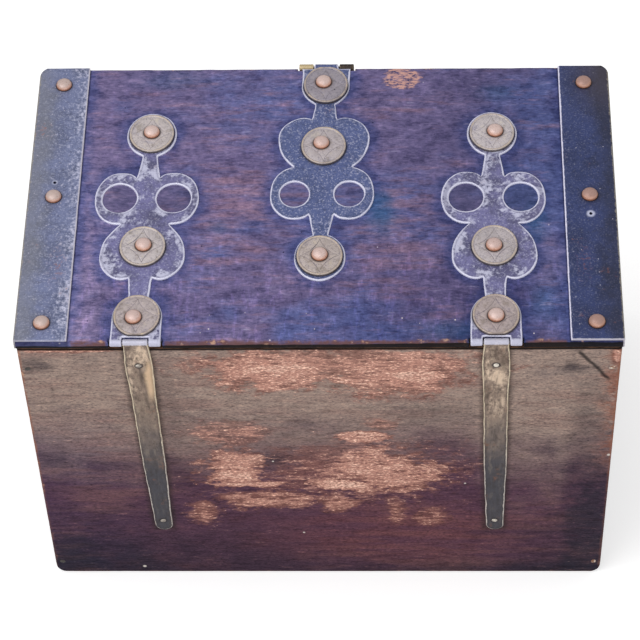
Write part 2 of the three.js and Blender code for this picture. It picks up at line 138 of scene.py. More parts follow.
# Roundels
ROUNDEL_RADIUS = 17.5
ROUNDEL_STRETCH = 1.1
ROUNDEL_THICKNESS = 2.0
ROUNDEL_RIM = 0.5
ROUNDEL_EDGE = 4.125
STAR_WAIST = 7.9
ROUNDEL_WEAR = (
    # leaf, place, strength of the stain, its tint, share of the star that is worn off
    ("hasp", "base", 0.9, "#c0bfcb", 0.85), ("hasp", "middle", 0.4, "#cfc8cc", 0.6),
    ("hasp", "tip", 0.5, "#e0d2bf", 0.0), ("left", "base", 0.6, "#cfbdb4", 0.4),
    ("left", "middle", 0.3, "#cfc8cc", 0.3), ("left", "tip", 0.1, "#cfc8cc", 0.6),
    ("right", "base", 0.5, "#cfc0b8", 0.65), ("right", "middle", 0.1, "#e0d2bf", 0.1),
    ("right", "tip", 0.2, "#d8ccba", 0.6),
)

# The lid, its notches for the knuckles, and the boards' worn lower corners
LID_CORNER = 9.0
NOTCH_GAP = 1.0
BOARD_CORNER = 12.0

# The bands: which edges are rounded and by how much, how finely they are cut, and their wear
BAND_LEAST_EDGE = 1.3
BAND_FOLD = math.radians(40)
BAND_BEVEL = 0.45
BAND_STEP = 4.0
BAND_WAVE = 0.4
BAND_DENTS = 0.18

# Nails along a leaf and along a band, their shanks, and the empty holes' places along the bands
NAIL_REACH = 24.0
SIDES = ("left", "right")
NAIL_SPOTS = ("base", "middle", "tip")
BAND_NAIL_SPOTS = ("back", "middle", "front")
DOME_SHANK = {"radius": 1.5, "length": 8.5}
NAIL_SHANK_RADIUS = 1.1
BOARD_NAIL_SHANK = 20.0
STRAP_NAIL_SHANK = 9.0
NAIL_DENTS = 0.35
SPARE_HOLES = {"left": 15.9, "right": -17.3}

# Faces that meet at more than these angles keep a sharp edge between them
SHEET_SHARP, ROUND_SHARP, NAIL_SHARP = (math.radians(turn) for turn in (38, 50, 30))

# The stage in metres: half the floor, how much it glows for the camera, and what the lamps point at
FLOOR_HALF = 9.0
FLOOR_GLOW = 0.44
LAMP_TARGET = (0.0, 0.0, 0.2)

# The camera fitted to the photograph; its place is in metres, its ways are where its right, top and back face
CAMERA_SENSOR = 36.0
CAMERA_LENS = 155.97
CAMERA_PLACE = (-0.0612, 1.3748, 1.9591)
CAMERA_WAYS = ((-0.99957, -0.01548, -0.02475), (-0.00279, -0.79348, 0.60859), (-0.02906, 0.60840, 0.79310))


def linear(code):
    """A colour written as sRGB hex, as the linear values that sockets take."""
    parts = [int(code[i:i + 2], 16) / 255 for i in (1, 3, 5)]
    return tuple(c / 12.92 if c <= 0.04045 else ((c + 0.055) / 1.055) ** 2.4 for c in parts)


def shade(colour, share=1.0):
    """A colour's linear values times a share; it is a hex code, the name of a property or plain values."""
    if isinstance(colour, str):
        colour = linear(colour) if colour[0] == "#" else getattr(bpy.context.scene.ship_chest_colours, colour)
    return tuple(value * share for value in colour)


def colour(name, description, code):
    return FloatVectorProperty(name=name, description=description, subtype="COLOR", min=0, max=1,
                               default=linear(code))


def length(name, description, millimetres):
    return FloatProperty(name=name, description=description, subtype="DISTANCE", unit="LENGTH", min=0,
                         precision=5, default=millimetres * MM)


def power(name, description, watts):
    return FloatProperty(name=name, description=description, unit="POWER", min=0, default=watts)


class ShipChestSizes(bpy.types.PropertyGroup):
    """Sizes of the finish, on top of the sizes that the CAD frame sets."""

    board_rounding: length("Board rounding", "Radius of the boards' long edges", 1.6)
    board_wear: length("Board wear", "How deep the boards' edges are worn in places", 1.1)
    lid_rounding: length("Lid rounding", "Radius of the lid's top edges", 1.8)
    sheet_bevel: length("Sheet bevel", "Width of the filed edge on leaves, straps and hasp", 0.9)
    sheet_dents: length("Sheet dents", "Depth of the hammer marks in the sheet fittings", 0.16)
    star_reach: length("Star reach", "From a roundel's middle to the star's points", 14.6)
    star_groove: length("Star groove", "Depth of the engraved star", 0.28)
    dome_radius: length("Dome radius", "Radius of the copper domes", 6.2)
    dome_height: length("Dome height", "Height of the copper domes", 4.6)
    dome_dents: length("Dome dents", "Depth of the hammer marks on the domes", 0.22)
    head_radius: length("Nail head radius", "Radius of the small iron nails' heads", 2.6)
    head_height: length("Nail head height", "Height of the small iron nails' heads", 0.8)
    seed: IntProperty(name="Seed", description="Varies the wear and the nails' turns", default=7, min=0)


class ShipChestColours(bpy.types.PropertyGroup):
    """Colours of the woods and metals."""

    lid_blue: colour("Lid blue", "The lid lacquer's blue", "#5c6497")
    lid_violet: colour("Lid violet", "The lid lacquer's violet", "#6f658d")
    lid_rose: colour("Lid rose", "Wood showing through the lid lacquer along the grain", "#957486")
    lid_halo: colour("Lid halo", "Deep lacquer left round the fittings", "#454f84")
    board_grey: colour("Board grey", "Upper part of the boards", "#a08c82")
    board_plum: colour("Board plum", "Lower part of the boards", "#53374a")
    board_night: colour("Board night", "Darkest corners of the boards", "#262432")
    board_salmon: colour("Board salmon", "Bare wood where the boards are rubbed", "#c99484")
    board_cream: colour("Board cream", "The palest rubbed fibres", "#f3ccb8")
    board_inside: colour("Board inside", "Bare wood inside the chest", "#a07c5a")
    band_slate: colour("Band slate", "The right band's iron", "#777fa4")
    band_navy: colour("Band navy", "The left band's iron", "#374374")
    frost: colour("Frost", "Rubbed bright iron", "#d8d8f0")
    leaf_grey: colour("Leaf grey", "The hinge leaves' iron", "#7c79a8")
    leaf_blue: colour("Leaf blue", "The hasp leaf's iron", "#5a6697")
    strap_bronze: colour("Strap bronze", "The straps' iron near the pin", "#9b8677")
    strap_slate: colour("Strap slate", "The straps' iron near the tip", "#45434b")
    strap_cream: colour("Strap cream", "The straps' rubbed edges", "#ecdcc0")
    alloy: colour("Roundel alloy", "The roundels' grey-beige metal", "#d2c9cb")
    alloy_rim: colour("Roundel rim", "The roundels' rubbed rims", "#c9b59b")
    alloy_line: colour("Roundel lines", "Dirt in the engraved lines", "#57526a")
    # copper holds the domes' pale painted highlight on top; copper_shade is tarnish and painted shade towards
    # their feet.
    copper: colour("Copper", "The domed nails", "#dfc5be")
    copper_shade: colour("Copper shade", "Tarnish round the domes' edges", "#b0765c")
    iron: colour("Nail iron", "The small nails", "#e4dccf")
    brass: colour("Brass", "The hasp and its staples", "#6e5f47")
    brass_shade: colour("Brass shade", "Hollows of the hasp and its staples", "#3a3028")
    brass_bright: colour("Brass bright", "Rubbed parts of the hasp and its staples", "#b3a179")


class ShipChestStage(bpy.types.PropertyGroup):
    """Floor, lights and camera."""

    sky: FloatProperty(name="Sky", description="Strength of the even light all round", default=0.62, min=0)
    key: power("Key", "Power of the large lamp above", 17.0)
    fill: power("Fill", "Power of the lamp behind the camera", 9.0)
    floor: colour("Floor", "The pale floor", "#f2f2f2")


# Flat outlines, in millimetres
def bezier(start, first, second, end, steps=14):
    t = np.linspace(0, 1, steps + 1)[1:, None]
    start, first, second, end = (np.array(p, float) for p in (start, first, second, end))
    return (1 - t) ** 3 * start + 3 * (1 - t) ** 2 * t * first + 3 * (1 - t) * t ** 2 * second + t ** 3 * end


def arc(centre, radii, start, end, steps=16):
    turn = np.linspace(start, end, steps + 1)
    return np.stack([centre[0] + radii[0] * np.cos(turn), centre[1] + radii[1] * np.sin(turn)], 1)


def smooth_line(points, steps=8):
    """A line through all points, smooth at each of them."""
    points = np.array(points, float)
    ways = np.concatenate([[0], np.cumsum(np.hypot(*np.diff(points, axis=0).T))])
    slopes = np.gradient(points, ways, axis=0)
    parts = [points[:1]]
    for a, b, slope, next_slope, third in zip(points, points[1:], slopes, slopes[1:], np.diff(ways) / 3):
        parts.append(bezier(a, a + slope * third, b - next_slope * third, b, steps))
    return np.concatenate(parts)


def mirrored(half):
    """A closed outline from a half that runs up the right side."""
    return np.concatenate([half, half[::-1] * (-1, 1)])


def cleaned(loop):
    """The loop without repeated points, anticlockwise."""
    loop = np.array([p for i, p in enumerate(loop) if np.hypot(*(p - loop[i - 1])) > 1e-4])
    x, y = loop.T
    area = np.sum(x * np.roll(y, -1) - np.roll(x, -1) * y)
    return loop if area > 0 else loop[::-1]


def spaced(loop, step):
    """The closed loop with no side longer than step, its own corners kept."""
    parts = []
    for a, b in zip(loop, np.roll(loop, -1, axis=0)):
        count = max(1, math.ceil(np.hypot(*(b - a)) / step))
        parts.append(a + (b - a) * (np.arange(count) / count)[:, None])
    return np.concatenate(parts)


def sideways(loop):
    """For each point, the vector that moves both of its sides inwards by one."""
    before = loop - np.roll(loop, 1, axis=0)
    after = np.roll(loop, -1, axis=0) - loop
    before /= np.hypot(*before.T)[:, None]
    after /= np.hypot(*after.T)[:, None]
    both = np.stack([-(before[:, 1] + after[:, 1]), before[:, 0] + after[:, 0]], 1)
    return both / np.maximum(1 + np.sum(before * after, 1), 0.35)[:, None]


def roughened(loop, depth, grain, seed):
    """The loop pushed inwards here and there by up to depth, its sharp corners kept."""
    before = loop - np.roll(loop, 1, axis=0)
    after = np.roll(loop, -1, axis=0) - loop
    sharp = loop[np.sum(before * after, 1) < 0.85 * np.hypot(*before.T) * np.hypot(*after.T)]
    push = np.array([noise.noise(Vector((x / grain, y / grain, seed))) for x, y in loop])
    push = depth * np.clip(0.5 + push, 0, 1)
    for corner in sharp:
        push = np.minimum(push, 0.12 * np.hypot(*(loop - corner).T))
    return loop + sideways(loop) * push[:, None]


def inside(points, loops):
    """Whether each point is within the outline and outside the holes."""
    odd = np.zeros(len(points), bool)
    for loop in loops:
        for (x0, y0), (x1, y1) in zip(loop, np.roll(loop, -1, axis=0)):
            if y0 == y1:
                continue
            crosses = (y0 > points[:, 1]) != (y1 > points[:, 1])
            odd ^= crosses & (points[:, 0] < x0 + (points[:, 1] - y0) * (x1 - x0) / (y1 - y0))
    return odd


def gap_to(points, loops):
    """Each point's distance to the nearest side of the loops."""
    best = np.full(len(points), np.inf)
    for loop in loops:
        for a, b in zip(loop, np.roll(loop, -1, axis=0)):
            side = b - a
            share = np.clip(((points - a) @ side) / max(side @ side, 1e-12), 0, 1)
            away = points - a - share[:, None] * side
            best = np.minimum(best, np.hypot(away[:, 0], away[:, 1]))
    return best


def field(loops, pitch, clear):
    """Staggered points inside the loops and at least clear away from their sides."""
    low = loops[0].min(0)
    high = loops[0].max(0)
    rows = []
    for row, y in enumerate(np.arange(low[1] + pitch[1] / 2, high[1], pitch[1])):
        xs = np.arange(low[0] + pitch[0] * (0.25 + 0.5 * (row % 2)), high[0], pitch[0])
        rows.append(np.stack([xs, np.full(len(xs), y)], 1))
    points = np.concatenate(rows)
    points = points[inside(points, loops)]
    return points[gap_to(points, loops) > clear]


def rounding(radius, steps=4):
    """Inset and drop of each ring round an edge, from the wall to the face."""
    turns = np.linspace(0, math.pi / 2, steps + 1)
    return [(radius * (1 - math.cos(t)), radius * (1 - math.sin(t))) for t in turns]


class Sheet:
    """A flat piece cut along loops, the first its outline and the rest its holes, with rounded edges.

    points holds across, along and height; faces point outwards; rim is each point's distance from a cut edge.
    """

    def __init__(self, loops, thickness, top, bottom=0.0, pitch=(2.4, 2.4), extra=None, side_step=1.6,
                 hem=1.1, rough=0.0, grain=9.0, seed=0):
        loops = [cleaned(loop) if i == 0 else cleaned(loop)[::-1] for i, loop in enumerate(loops)]
        loops = [spaced(loop, side_step) for loop in loops]
        if rough:
            loops = [roughened(loop, rough, grain, seed + 3.7 * i) for i, loop in enumerate(loops)]
        rings = [(inset, drop) for inset, drop in reversed(rounding(bottom))] if bottom else [(0.0, 0.0)]
        rings += [(inset, thickness - drop) for inset, drop in rounding(top)]
        steps = [sideways(loop) for loop in loops]
        self.count = sum(len(loop) for loop in loops)
        rows = []
        for inset, height in rings:
            flat = np.concatenate([loop + step * inset for loop, step in zip(loops, steps)])
            rows.append(np.column_stack([flat, np.full(len(flat), height)]))
        reach = max(top, bottom)
        shrunk = [loop + step * reach for loop, step in zip(loops, steps)]
        middle = field(shrunk, pitch, hem + 0.4 * min(pitch))
        inner = np.concatenate([loop + step * (reach + hem) for loop, step in zip(loops, steps)])
        for points, clear in ((inner, reach + 0.9 * hem), (extra, reach + 0.25)):
            if points is not None:
                points = points[inside(points, loops) & (gap_to(points, loops) > clear)]
                middle = np.concatenate([middle, points])
        self.points = np.concatenate([
            *rows,
            np.column_stack([middle, np.zeros(len(middle))]),
            np.column_stack([middle, np.full(len(middle), thickness)]),
        ])
        self.faces = []
        start = 0
        for loop in loops:
            size = len(loop)
            for ring in range(len(rings) - 1):
                base = ring * self.count + start
                self.faces += [(base + i, base + (i + 1) % size, base + self.count + (i + 1) % size,
                                base + self.count + i) for i in range(size)]
            start += size
        fields = len(rings) * self.count
        sizes = [len(loop) for loop in loops]
        self.cap(0, fields, sizes, len(middle), turned=True)
        self.cap((len(rings) - 1) * self.count, fields + len(middle), sizes, len(middle), turned=False)
        self.rim = gap_to(self.points[:, :2], loops)
        self.top = self.points[:, 2] > thickness - top - 1e-6

    def cap(self, ring, field_start, sizes, field_count, turned):
        index = list(range(ring, ring + self.count)) + list(range(field_start, field_start + field_count))
        flat = self.points[index][:, :2]
        sides = []
        loops = []
        start = 0
        for size in sizes:
            sides += [(start + i, start + (i + 1) % size) for i in range(size)]
            loops.append(flat[start:start + size])
            start += size
        found = delaunay_2d_cdt([Vector(p) for p in flat], sides, [], 0, 1e-7)
        places, triangles, origins = found[0], found[2], found[3]
        middles = np.array([np.mean([places[i] for i in t], axis=0) for t in triangles])
        keep = inside(middles, loops)
        for triangle, wanted in zip(triangles, keep):
            if wanted:
                corners = [index[origins[i][0]] for i in triangle]
                self.faces.append(tuple(corners[::-1] if turned else corners))


def dented(sheet, depth, grain, seed):
    """Lowers the sheet's top here and there, as hammer marks do."""
    dip = np.array([noise.noise(Vector((x / grain, y / grain, seed))) for x, y, _ in sheet.points])
    sheet.points[:, 2] -= np.where(sheet.top, depth * np.clip(0.5 + dip, 0, 1), 0)


def follow(points, path, thickness, zero):
    """Bends flat points along a path in a plane: their second coordinate is the way along it, from zero."""
    ways = np.concatenate([[0], np.cumsum(np.hypot(*np.diff(path, axis=0).T))]) + zero
    slopes = np.gradient(path, axis=0)
    slopes /= np.hypot(*slopes.T)[:, None]
    y, z, dy, dz = (np.interp(points[:, 1], ways, column) for column in (*path.T, *slopes.T))
    out = points[:, 2] - thickness / 2
    return np.column_stack([points[:, 0], y - dz * out, z + dy * out])


def solid(name, points, faces, material, rim=None):
    """A mesh piece in metres at the origin, from points in millimetres."""
    mesh = bpy.data.meshes.new(name)
    mesh.from_pydata([tuple(p) for p in np.asarray(points) * MM], [], faces)
    mesh.materials.append(material)
    mesh.shade_smooth()
    mesh.set_sharp_from_angle(angle=SHEET_SHARP)
    if rim is not None:
        mark(mesh, "rim", rim)
    return place(name, mesh)


def place(name, mesh):
    piece = bpy.data.objects.new(name, mesh)
    bpy.context.scene.collection.objects.link(piece)
    return piece


def set_down(piece, body, slot, *nodes):
    """The finished piece moves with its body and stands for its CAD nodes, which it hides; slot is not used.
    """
    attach(piece, body)
    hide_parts(*nodes)


def box(node):
    """The lowest and highest corner of a CAD node, in millimetres."""
    return [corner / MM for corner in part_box(node)]


def centre(node):
    """The middle of a CAD node's box, in millimetres."""
    low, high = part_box(node)
    return (low + high) / (2 * MM)


def corners(mesh):
    """The mesh's points as rows, in metres."""
    points = np.zeros(len(mesh.vertices) * 3, np.float32)
    mesh.vertices.foreach_get("co", points)
    return points.reshape(-1, 3)


def mark(mesh, name, values):
    """Stores a number or a vector on each point, for the finishes to read."""
    values = np.asarray(values, np.float32)
    kind, field_name = ("FLOAT_VECTOR", "vector") if values.ndim == 2 else ("FLOAT", "value")
    mesh.attributes.new(name, kind, "POINT").data.foreach_set(field_name, values.ravel())


def mark_nails(mesh, nodes, along):
    """Stores the way, in millimetres, from the axis of the nearest nail; the nails point along one axis."""
    ways = corners(mesh)[:, None] / MM - np.array([centre(node) for node in nodes])[None]
    ways[:, :, along] = 0
    squares = np.sum(ways * ways, 2)
    ways = ways[np.arange(len(ways)), np.argmin(squares, 1)]
    ways[np.min(squares, 1) > NAIL_REACH ** 2] = np.roll((3 * NAIL_REACH, 0, 0), along)
    mark(mesh, "nail", ways)


# Node trees
class Graph:
    """Adds nodes to a tree; an input is a plain value, a colour or another node's output."""

    def __init__(self, tree):
        self.tree = tree

    def put(self, socket, value):
        if isinstance(value, bpy.types.NodeSocket):
            self.tree.links.new(value, socket)
        elif socket.type == "RGBA":
            socket.default_value = (*shade(value), 1)
        else:
            socket.default_value = value

    def node(self, kind, inputs=None, **settings):
        node = self.tree.nodes.new(kind)
        for name, value in settings.items():
            setattr(node, name, value)
        for key, value in (inputs or {}).items():
            self.put(node.inputs[key], value)
        return node

    def add(self, kind, inputs=None, out=0, **settings):
        return self.node(kind, inputs, **settings).outputs[out]

    def math(self, operation, *values):
        return self.add("ShaderNodeMath", dict(enumerate(values)), operation=operation)

    def total(self, *values):
        return reduce(lambda first, second: self.math("ADD", first, second), values)

    def product(self, *values):
        return reduce(lambda first, second: self.math("MULTIPLY", first, second), values)

    def minus(self, first, second):
        return self.math("SUBTRACT", first, second)

    def highest(self, first, second):
        return self.math("MAXIMUM", first, second)

    def lowest(self, first, second):
        return self.math("MINIMUM", first, second)

    def above(self, value, limit):
        """1 where value is over the limit, 0 elsewhere."""
        return self.math("GREATER_THAN", value, limit)

    def below(self, value, limit):
        """1 where value is under the limit, 0 elsewhere."""
        return self.math("LESS_THAN", value, limit)

    def vector(self, operation, *values):
        out = 1 if operation in ("LENGTH", "DISTANCE") else 0
        return self.add("ShaderNodeVectorMath", dict(enumerate(values)), out, operation=operation)

    def ramp(self, value, low, high, start=0.0, end=1.0):
        """Goes smoothly from start to end as value goes from low to high."""
        if low > high:
            low, high, start, end = high, low, end, start
        return self.add("ShaderNodeMapRange", {0: value, 1: low, 2: high, 3: start, 4: end},
                        interpolation_type="SMOOTHSTEP")

    def xyz(self, vector):
        return tuple(self.node("ShaderNodeSeparateXYZ", {0: vector}).outputs)

    def combined(self, x, y, z):
        return self.add("ShaderNodeCombineXYZ", {0: x, 1: y, 2: z})


class Surface(Graph):
    """A material whose patterns read the piece's own coordinates, in metres; base is its colour so far."""

    def __init__(self, name):
        self.material = bpy.data.materials.new(name)
        self.material.use_nodes = True
        super().__init__(self.material.node_tree)
        self.tree.nodes.clear()
        self.where = self.add("ShaderNodeTexCoord", out="Object")
        self.x, self.y, self.z = self.xyz(self.where)
        self.normal = self.base = None

    def mix(self, factor, first, second, blend="MIX"):
        inputs = {0: factor, 6: first, 7: second}
        return self.add("ShaderNodeMix", inputs, 2, data_type="RGBA", blend_type=blend)

    def paint(self, factor, colour, strength=None, blend="MIX"):
        """Covers the base with a colour, where factor says."""
        if strength is not None:
            factor = self.product(factor, strength)
        self.base = self.mix(factor, self.base, colour, blend)

    def tint(self, factor, colour, strength=None):
        """Multiplies the base by a colour, where factor says."""
        self.paint(factor, colour, strength, "MULTIPLY")

    def wash(self, pattern, low, high, most, colour):
        """Paints a colour, up to the share most, as the pattern goes from low to high."""
        self.paint(self.ramp(pattern, low, high, end=most), colour)

    def stain(self, pattern, low, high, most, colour):
        """Tints with a colour, up to the share most, as the pattern goes from low to high."""
        self.tint(self.ramp(pattern, low, high, end=most), colour)

    def noise(self, stretch, detail, roughness, shift=0.0, turn=0.0):
        """Noise between 0 and 1 with stretch waves per metre, or so many along each axis, turned about Z."""
        place = self.add("ShaderNodeMapping", {
            "Vector": self.where, "Location": (shift, shift * 0.7, shift * 1.3), "Rotation": (0.0, 0.0, turn),
            "Scale": stretch if isinstance(stretch, tuple) else (stretch,) * 3})
        return self.add("ShaderNodeTexNoise", {"Vector": place, "Scale": 1.0, "Detail": detail,
                                               "Roughness": roughness})

    def sway(self, pattern, reach):
        """The pattern's swing about its middle, up and down by half of reach."""
        return self.product(self.minus(pattern, 0.5), reach)

    def value(self, name):
        """A number stored on the mesh."""
        return self.add("ShaderNodeAttribute", out="Fac", attribute_name=name)

    def nail_distance(self):
        """Millimetres to the nearest nail's axis, from the way stored on the mesh."""
        return self.vector("LENGTH", self.add("ShaderNodeAttribute", out="Vector", attribute_name="nail"))

    def spot(self, middle, half, axes, ragged=0.0, edge=0.45):
        """1 inside an oval on the named two axes, 0 outside, its border moved by ragged."""
        parts = [self.math("DIVIDE", self.minus(axis, m * MM), h * MM)
                 for axis, m, h in zip(axes, middle, half)]
        away = self.math("SQRT", self.total(*(self.product(p, p) for p in parts)))
        return self.ramp(self.total(away, ragged), 1 + edge, 1 - edge)

    def patches(self, spots, axes, ragged, edge):
        """The strongest of many spots, each with its own strength."""
        result = 0.0
        for first, second, half_first, half_second, strength in spots:
            found = self.spot((first, second), (half_first, half_second), axes, ragged, edge)
            result = self.highest(result, self.product(found, strength))
        return result

    def dots(self, pitch, radius, shift, chance):
        """1 inside scattered round dots, pitch apart, where their cell's own number is under chance."""
        place = self.vector("ADD", self.where, (shift, shift, shift))
        cells = self.node("ShaderNodeTexVoronoi", {"Vector": place, "Scale": 1 / pitch}).outputs
        near = self.ramp(cells["Distance"], radius / pitch, 0.6 * radius / pitch)
        return self.product(near, self.below(self.xyz(cells["Color"])[0], chance))

    def bump(self, height, depth, strength):
        inputs = {"Height": height, "Distance": depth, "Strength": strength}
        if self.normal is not None:
            inputs["Normal"] = self.normal
        self.normal = self.add("ShaderNodeBump", inputs)

    def done(self, roughness, metallic=0.0, specular=0.5):
        """Ends the material in its base, roughness and bumps."""
        inputs = {"Base Color": self.base, "Roughness": roughness, "Metallic": metallic,
                  "Specular IOR Level": specular}
        if self.normal is not None:
            inputs["Normal"] = self.normal
        self.node("ShaderNodeOutputMaterial", {0: self.add("ShaderNodeBsdfPrincipled", inputs)})
        return self.material


# Finishes
WORN_SPOTS = (
    # x, z, half width, half height, strength
    (-14, 290, 104, 22, 0.42), (34, 281, 44, 24, 0.66), (23, 284, 34, 6, 1.0), (-57, 277, 57, 28, 0.6),
    (-72, 274, 24, 8, 1.05), (-20, 148, 84, 42, 0.3),
    (-26, 268, 26, 5, 0.8), (68, 157, 26, 22, 0.7), (71, 142, 20, 14, 0.9), (59, 130, 26, 4, 0.8),
    (72, 198, 31, 17, 0.32), (98, 94, 12, 20, 0.42), (44, 108, 48, 13, 0.48), (-32, 196, 18, 7, 0.8),
    (-47, 148, 42, 27, 0.72), (-17, 129, 24, 10, 1.0), (-12, 102, 16, 12, 0.5), (-57, 93, 9, 20, 0.34),
    (-85, 84, 12, 14, 0.34), (-46, 213, 14, 11, 0.3), (191, 308, 33, 3, 0.62), (-223, 299, 5, 9, 0.8),
)
DARK_SPOTS = (
    (-88, 229, 30, 14, 0.4), (-214, 82, 24, 76, 1.0), (-203, 215, 12, 66, 0.5), (-180, 64, 40, 12, 0.45),
    (-165, 5, 84, 8, 0.6), (212, 163, 15, 10, 0.5), (212, 28, 16, 20, 0.6),
    (149, 14, 16, 13, 0.5), (117, 238, 10, 72, 0.35), (216, 287, 8, 6, 0.7), (39, 163, 14, 9, 0.85),
    (-192, 286, 9, 5, 0.95), (213, 289, 9, 8, 0.7),
)
LID_ROSE_SPOTS = (
    (62, 8, 40, 52, 0.75), (-58, 30, 34, 46, 0.75), (20, 82, 40, 14, 0.3), (-20, -96, 70, 20, 0.4),
)
LID_TEAL_SPOTS = (
    (-47, 13, 10, 16, 1.1), (-94, 126, 20, 9, 0.8), (-140, -110, 13, 7, 0.7), (-164, 24, 8, 13, 0.8),
    (120, -124, 24, 8, 0.5), (-168, 100, 8, 12, 0.5), (78, 28, 6, 6, 0.5),
)


def board_wood(name, grain, rubbed=False):
    """Worn board: grey-brown above, plum below, rubbed to bare wood, pale and unfinished inside, with a
    painted shadow along its top edge.
    """
    s = Surface(name)

    def along(length_wise, crosswise):
        return tuple(length_wise if axis == grain else crosswise for axis in "xyz")

    dashes = s.noise(along(380.0, 1050.0), 2, 0.66, shift=3.0)
    fibres = s.noise(along(85.0, 430.0), 4, 0.68)
    streaks = s.noise(along(14.0, 95.0), 4, 0.6, shift=7.0)
    cloud = s.noise(along(24.0, 36.0), 5, 0.66, shift=11.0)
    crumbs = s.noise(along(95.0, 150.0), 4, 0.68, shift=13.0)
    slow = s.noise((7.0, 7.0, 9.0), 2, 0.5, shift=5.0)
    height = s.total(s.z, s.sway(slow, 0.1), s.sway(cloud, 0.09))
    height = s.total(height, s.product(s.ramp(s.x, -0.1, -0.15, end=0.03), s.ramp(s.x, -0.2, -0.185)))
    s.base = s.mix(s.ramp(height, 0.26, 0.12), "board_grey", "board_plum")
    corners_dark = s.product(s.ramp(s.math("ABSOLUTE", s.x), 0.1, 0.2), s.ramp(height, 0.13, 0.05))
    low = s.total(s.ramp(height, 0.075, 0.0, end=0.5), s.product(corners_dark, 0.4))
    s.paint(low, "board_night")
    cool = s.product(s.ramp(s.x, 0.12, 0.2), s.ramp(s.z, 0.24, 0.16))
    s.tint(cool, (0.88, 0.92, 1.08))
    s.paint(s.product(s.ramp(streaks, 0.4, 0.68), s.ramp(slow, 0.42, 0.6)), "#86605c", 0.4)
    s.stain(cloud, 0.48, 0.32, 0.5, (0.6, 0.62, 0.7))
    if rubbed:
        ruddy = s.spot((-55, 62), (92, 42), (s.x, s.z), s.sway(cloud, 1.6), 0.8)
        s.paint(s.product(ruddy, s.ramp(streaks, 0.36, 0.6, 0.25, 0.65)), "#714347")
    ragged = s.total(s.sway(cloud, 2.4), s.sway(crumbs, 2.6))
    if rubbed:
        worn = s.patches(WORN_SPOTS, (s.x, s.z), ragged, 0.5)
        dark = s.patches(DARK_SPOTS, (s.x, s.z), ragged, 0.9)
    else:
        worn = s.product(s.ramp(slow, 0.56, 0.7), s.ramp(cloud, 0.46, 0.6), 0.6)
        dark = s.product(s.ramp(slow, 0.42, 0.3), 0.5)
    s.wash(s.total(worn, s.product(cloud, 0.6)), 0.3, 0.8, 0.75, "#8f5f54")
    s.paint(dark, "board_night", 0.75)
    s.stain(fibres, 0.5, 0.34, 0.55, (0.42, 0.4, 0.42))
    s.stain(fibres, 0.54, 0.7, 0.6, (1.55, 1.5, 1.42))
    if rubbed:
        strap_grime_and_shade(s, cloud)
        side = s.total(s.product(s.x, -1000.0), s.sway(cloud, 34.0))
        side = s.product(s.ramp(side, 208.0, 226.0), s.ramp(height, 0.15, 0.2), s.ramp(crumbs, 0.38, 0.58),
                         0.75)
        s.paint(side, "#8a5443")
    flecks = s.total(s.product(worn, 0.9), s.sway(fibres, 1.5), s.sway(crumbs, 1.5))
    bare = s.ramp(worn, 0.02, 0.2, 0.15, 1.0)
    s.paint(s.product(s.ramp(flecks, 0.2, 0.62, end=0.85), bare), "board_salmon")
    bright = s.total(s.product(worn, 0.55), s.sway(dashes, 2.0), s.sway(fibres, 1.4))
    s.paint(s.product(s.ramp(bright, 0.4, 0.85, end=0.95), bare), "board_cream")
    s.stain(dashes, 0.48, 0.32, 0.8, (0.36, 0.34, 0.38))
    s.stain(dashes, 0.54, 0.72, 0.7, (1.7, 1.58, 1.46))
    if rubbed:
        crack_and_chips(s, cloud)
    worn_edges(s, 2.2, 0.75)
    # Painted shadow along the board's top edge, in the gap under the lid.
    s.wash(s.total(s.z, s.sway(cloud, 0.002)), 0.3072, 0.3086, 0.97, "#0b0708")
    sawn = s.mix(s.ramp(fibres, 0.34, 0.62), "#3b2a21", "#7a5a45")
    s.paint(s.ramp(s.z, 0.3092, 0.3097), sawn)
    bare_wood(s, streaks, fibres, dashes, cloud)
    s.bump(dashes, 0.0003, 0.5)
    s.bump(fibres, 0.0006, 0.4)
    s.bump(cloud, 0.001, 0.25)
    return s.done(s.ramp(fibres, 0.3, 0.7, 0.75, 0.58), specular=0.12)


def bare_wood(s, broad, fine, pores, cloud):
    """Unlacquered wood on the inside faces, with darker growth lines, pores and stains."""
    outer, within = s.base, s.value("inside")
    s.base = s.mix(s.ramp(broad, 0.36, 0.62), shade("board_inside", 0.68), "board_inside")
    s.stain(fine, 0.52, 0.36, 0.6, (0.62, 0.55, 0.48))
    s.stain(pores, 0.46, 0.34, 0.8, (0.5, 0.42, 0.36))
    s.stain(fine, 0.54, 0.7, 0.6, (1.3, 1.26, 1.2))
    s.stain(cloud, 0.54, 0.7, 0.35, (0.66, 0.62, 0.6))
    s.base = s.mix(within, outer, s.base)


def strap_grime_and_shade(s, cloud):
    """Dark grime and painted shade in the board beside each strap."""
    for name in ("left", "right"):
        x, _, z = centre(f"{name}_pin")
        down = s.minus(z * MM, s.z)
        middle = s.minus(x * MM, s.product(down, math.tan(STRAP_LEAN)))
        half = s.minus(0.0102, s.product(down, 0.0118))
        beside = s.minus(s.math("ABSOLUTE", s.minus(s.x, middle)), half)
        beside = s.total(beside, s.sway(cloud, 0.006))
        grime_and_shade = s.product(s.ramp(beside, 0.0055, 0.0), s.ramp(down, 0.258, 0.25), 0.62)
        s.paint(grime_and_shade, "#2a2422")


def worn_edges(s, reach, strength, code="#965e45"):
    """Orange-brown bare wood along a board's edges, broken up and cream in places."""
    chips = s.noise(95.0, 4, 0.68, shift=20.0)
    near = s.ramp(s.total(s.value("rim"), s.sway(chips, 5.0)), reach * 1.3, 0.0)
    near = s.product(near, s.ramp(s.z, 0.09, 0.19, 0.35, 1.0))
    s.paint(s.product(near, strength), code)
    s.paint(s.product(near, s.ramp(chips, 0.42, 0.3)), "#dcae90", 0.7)


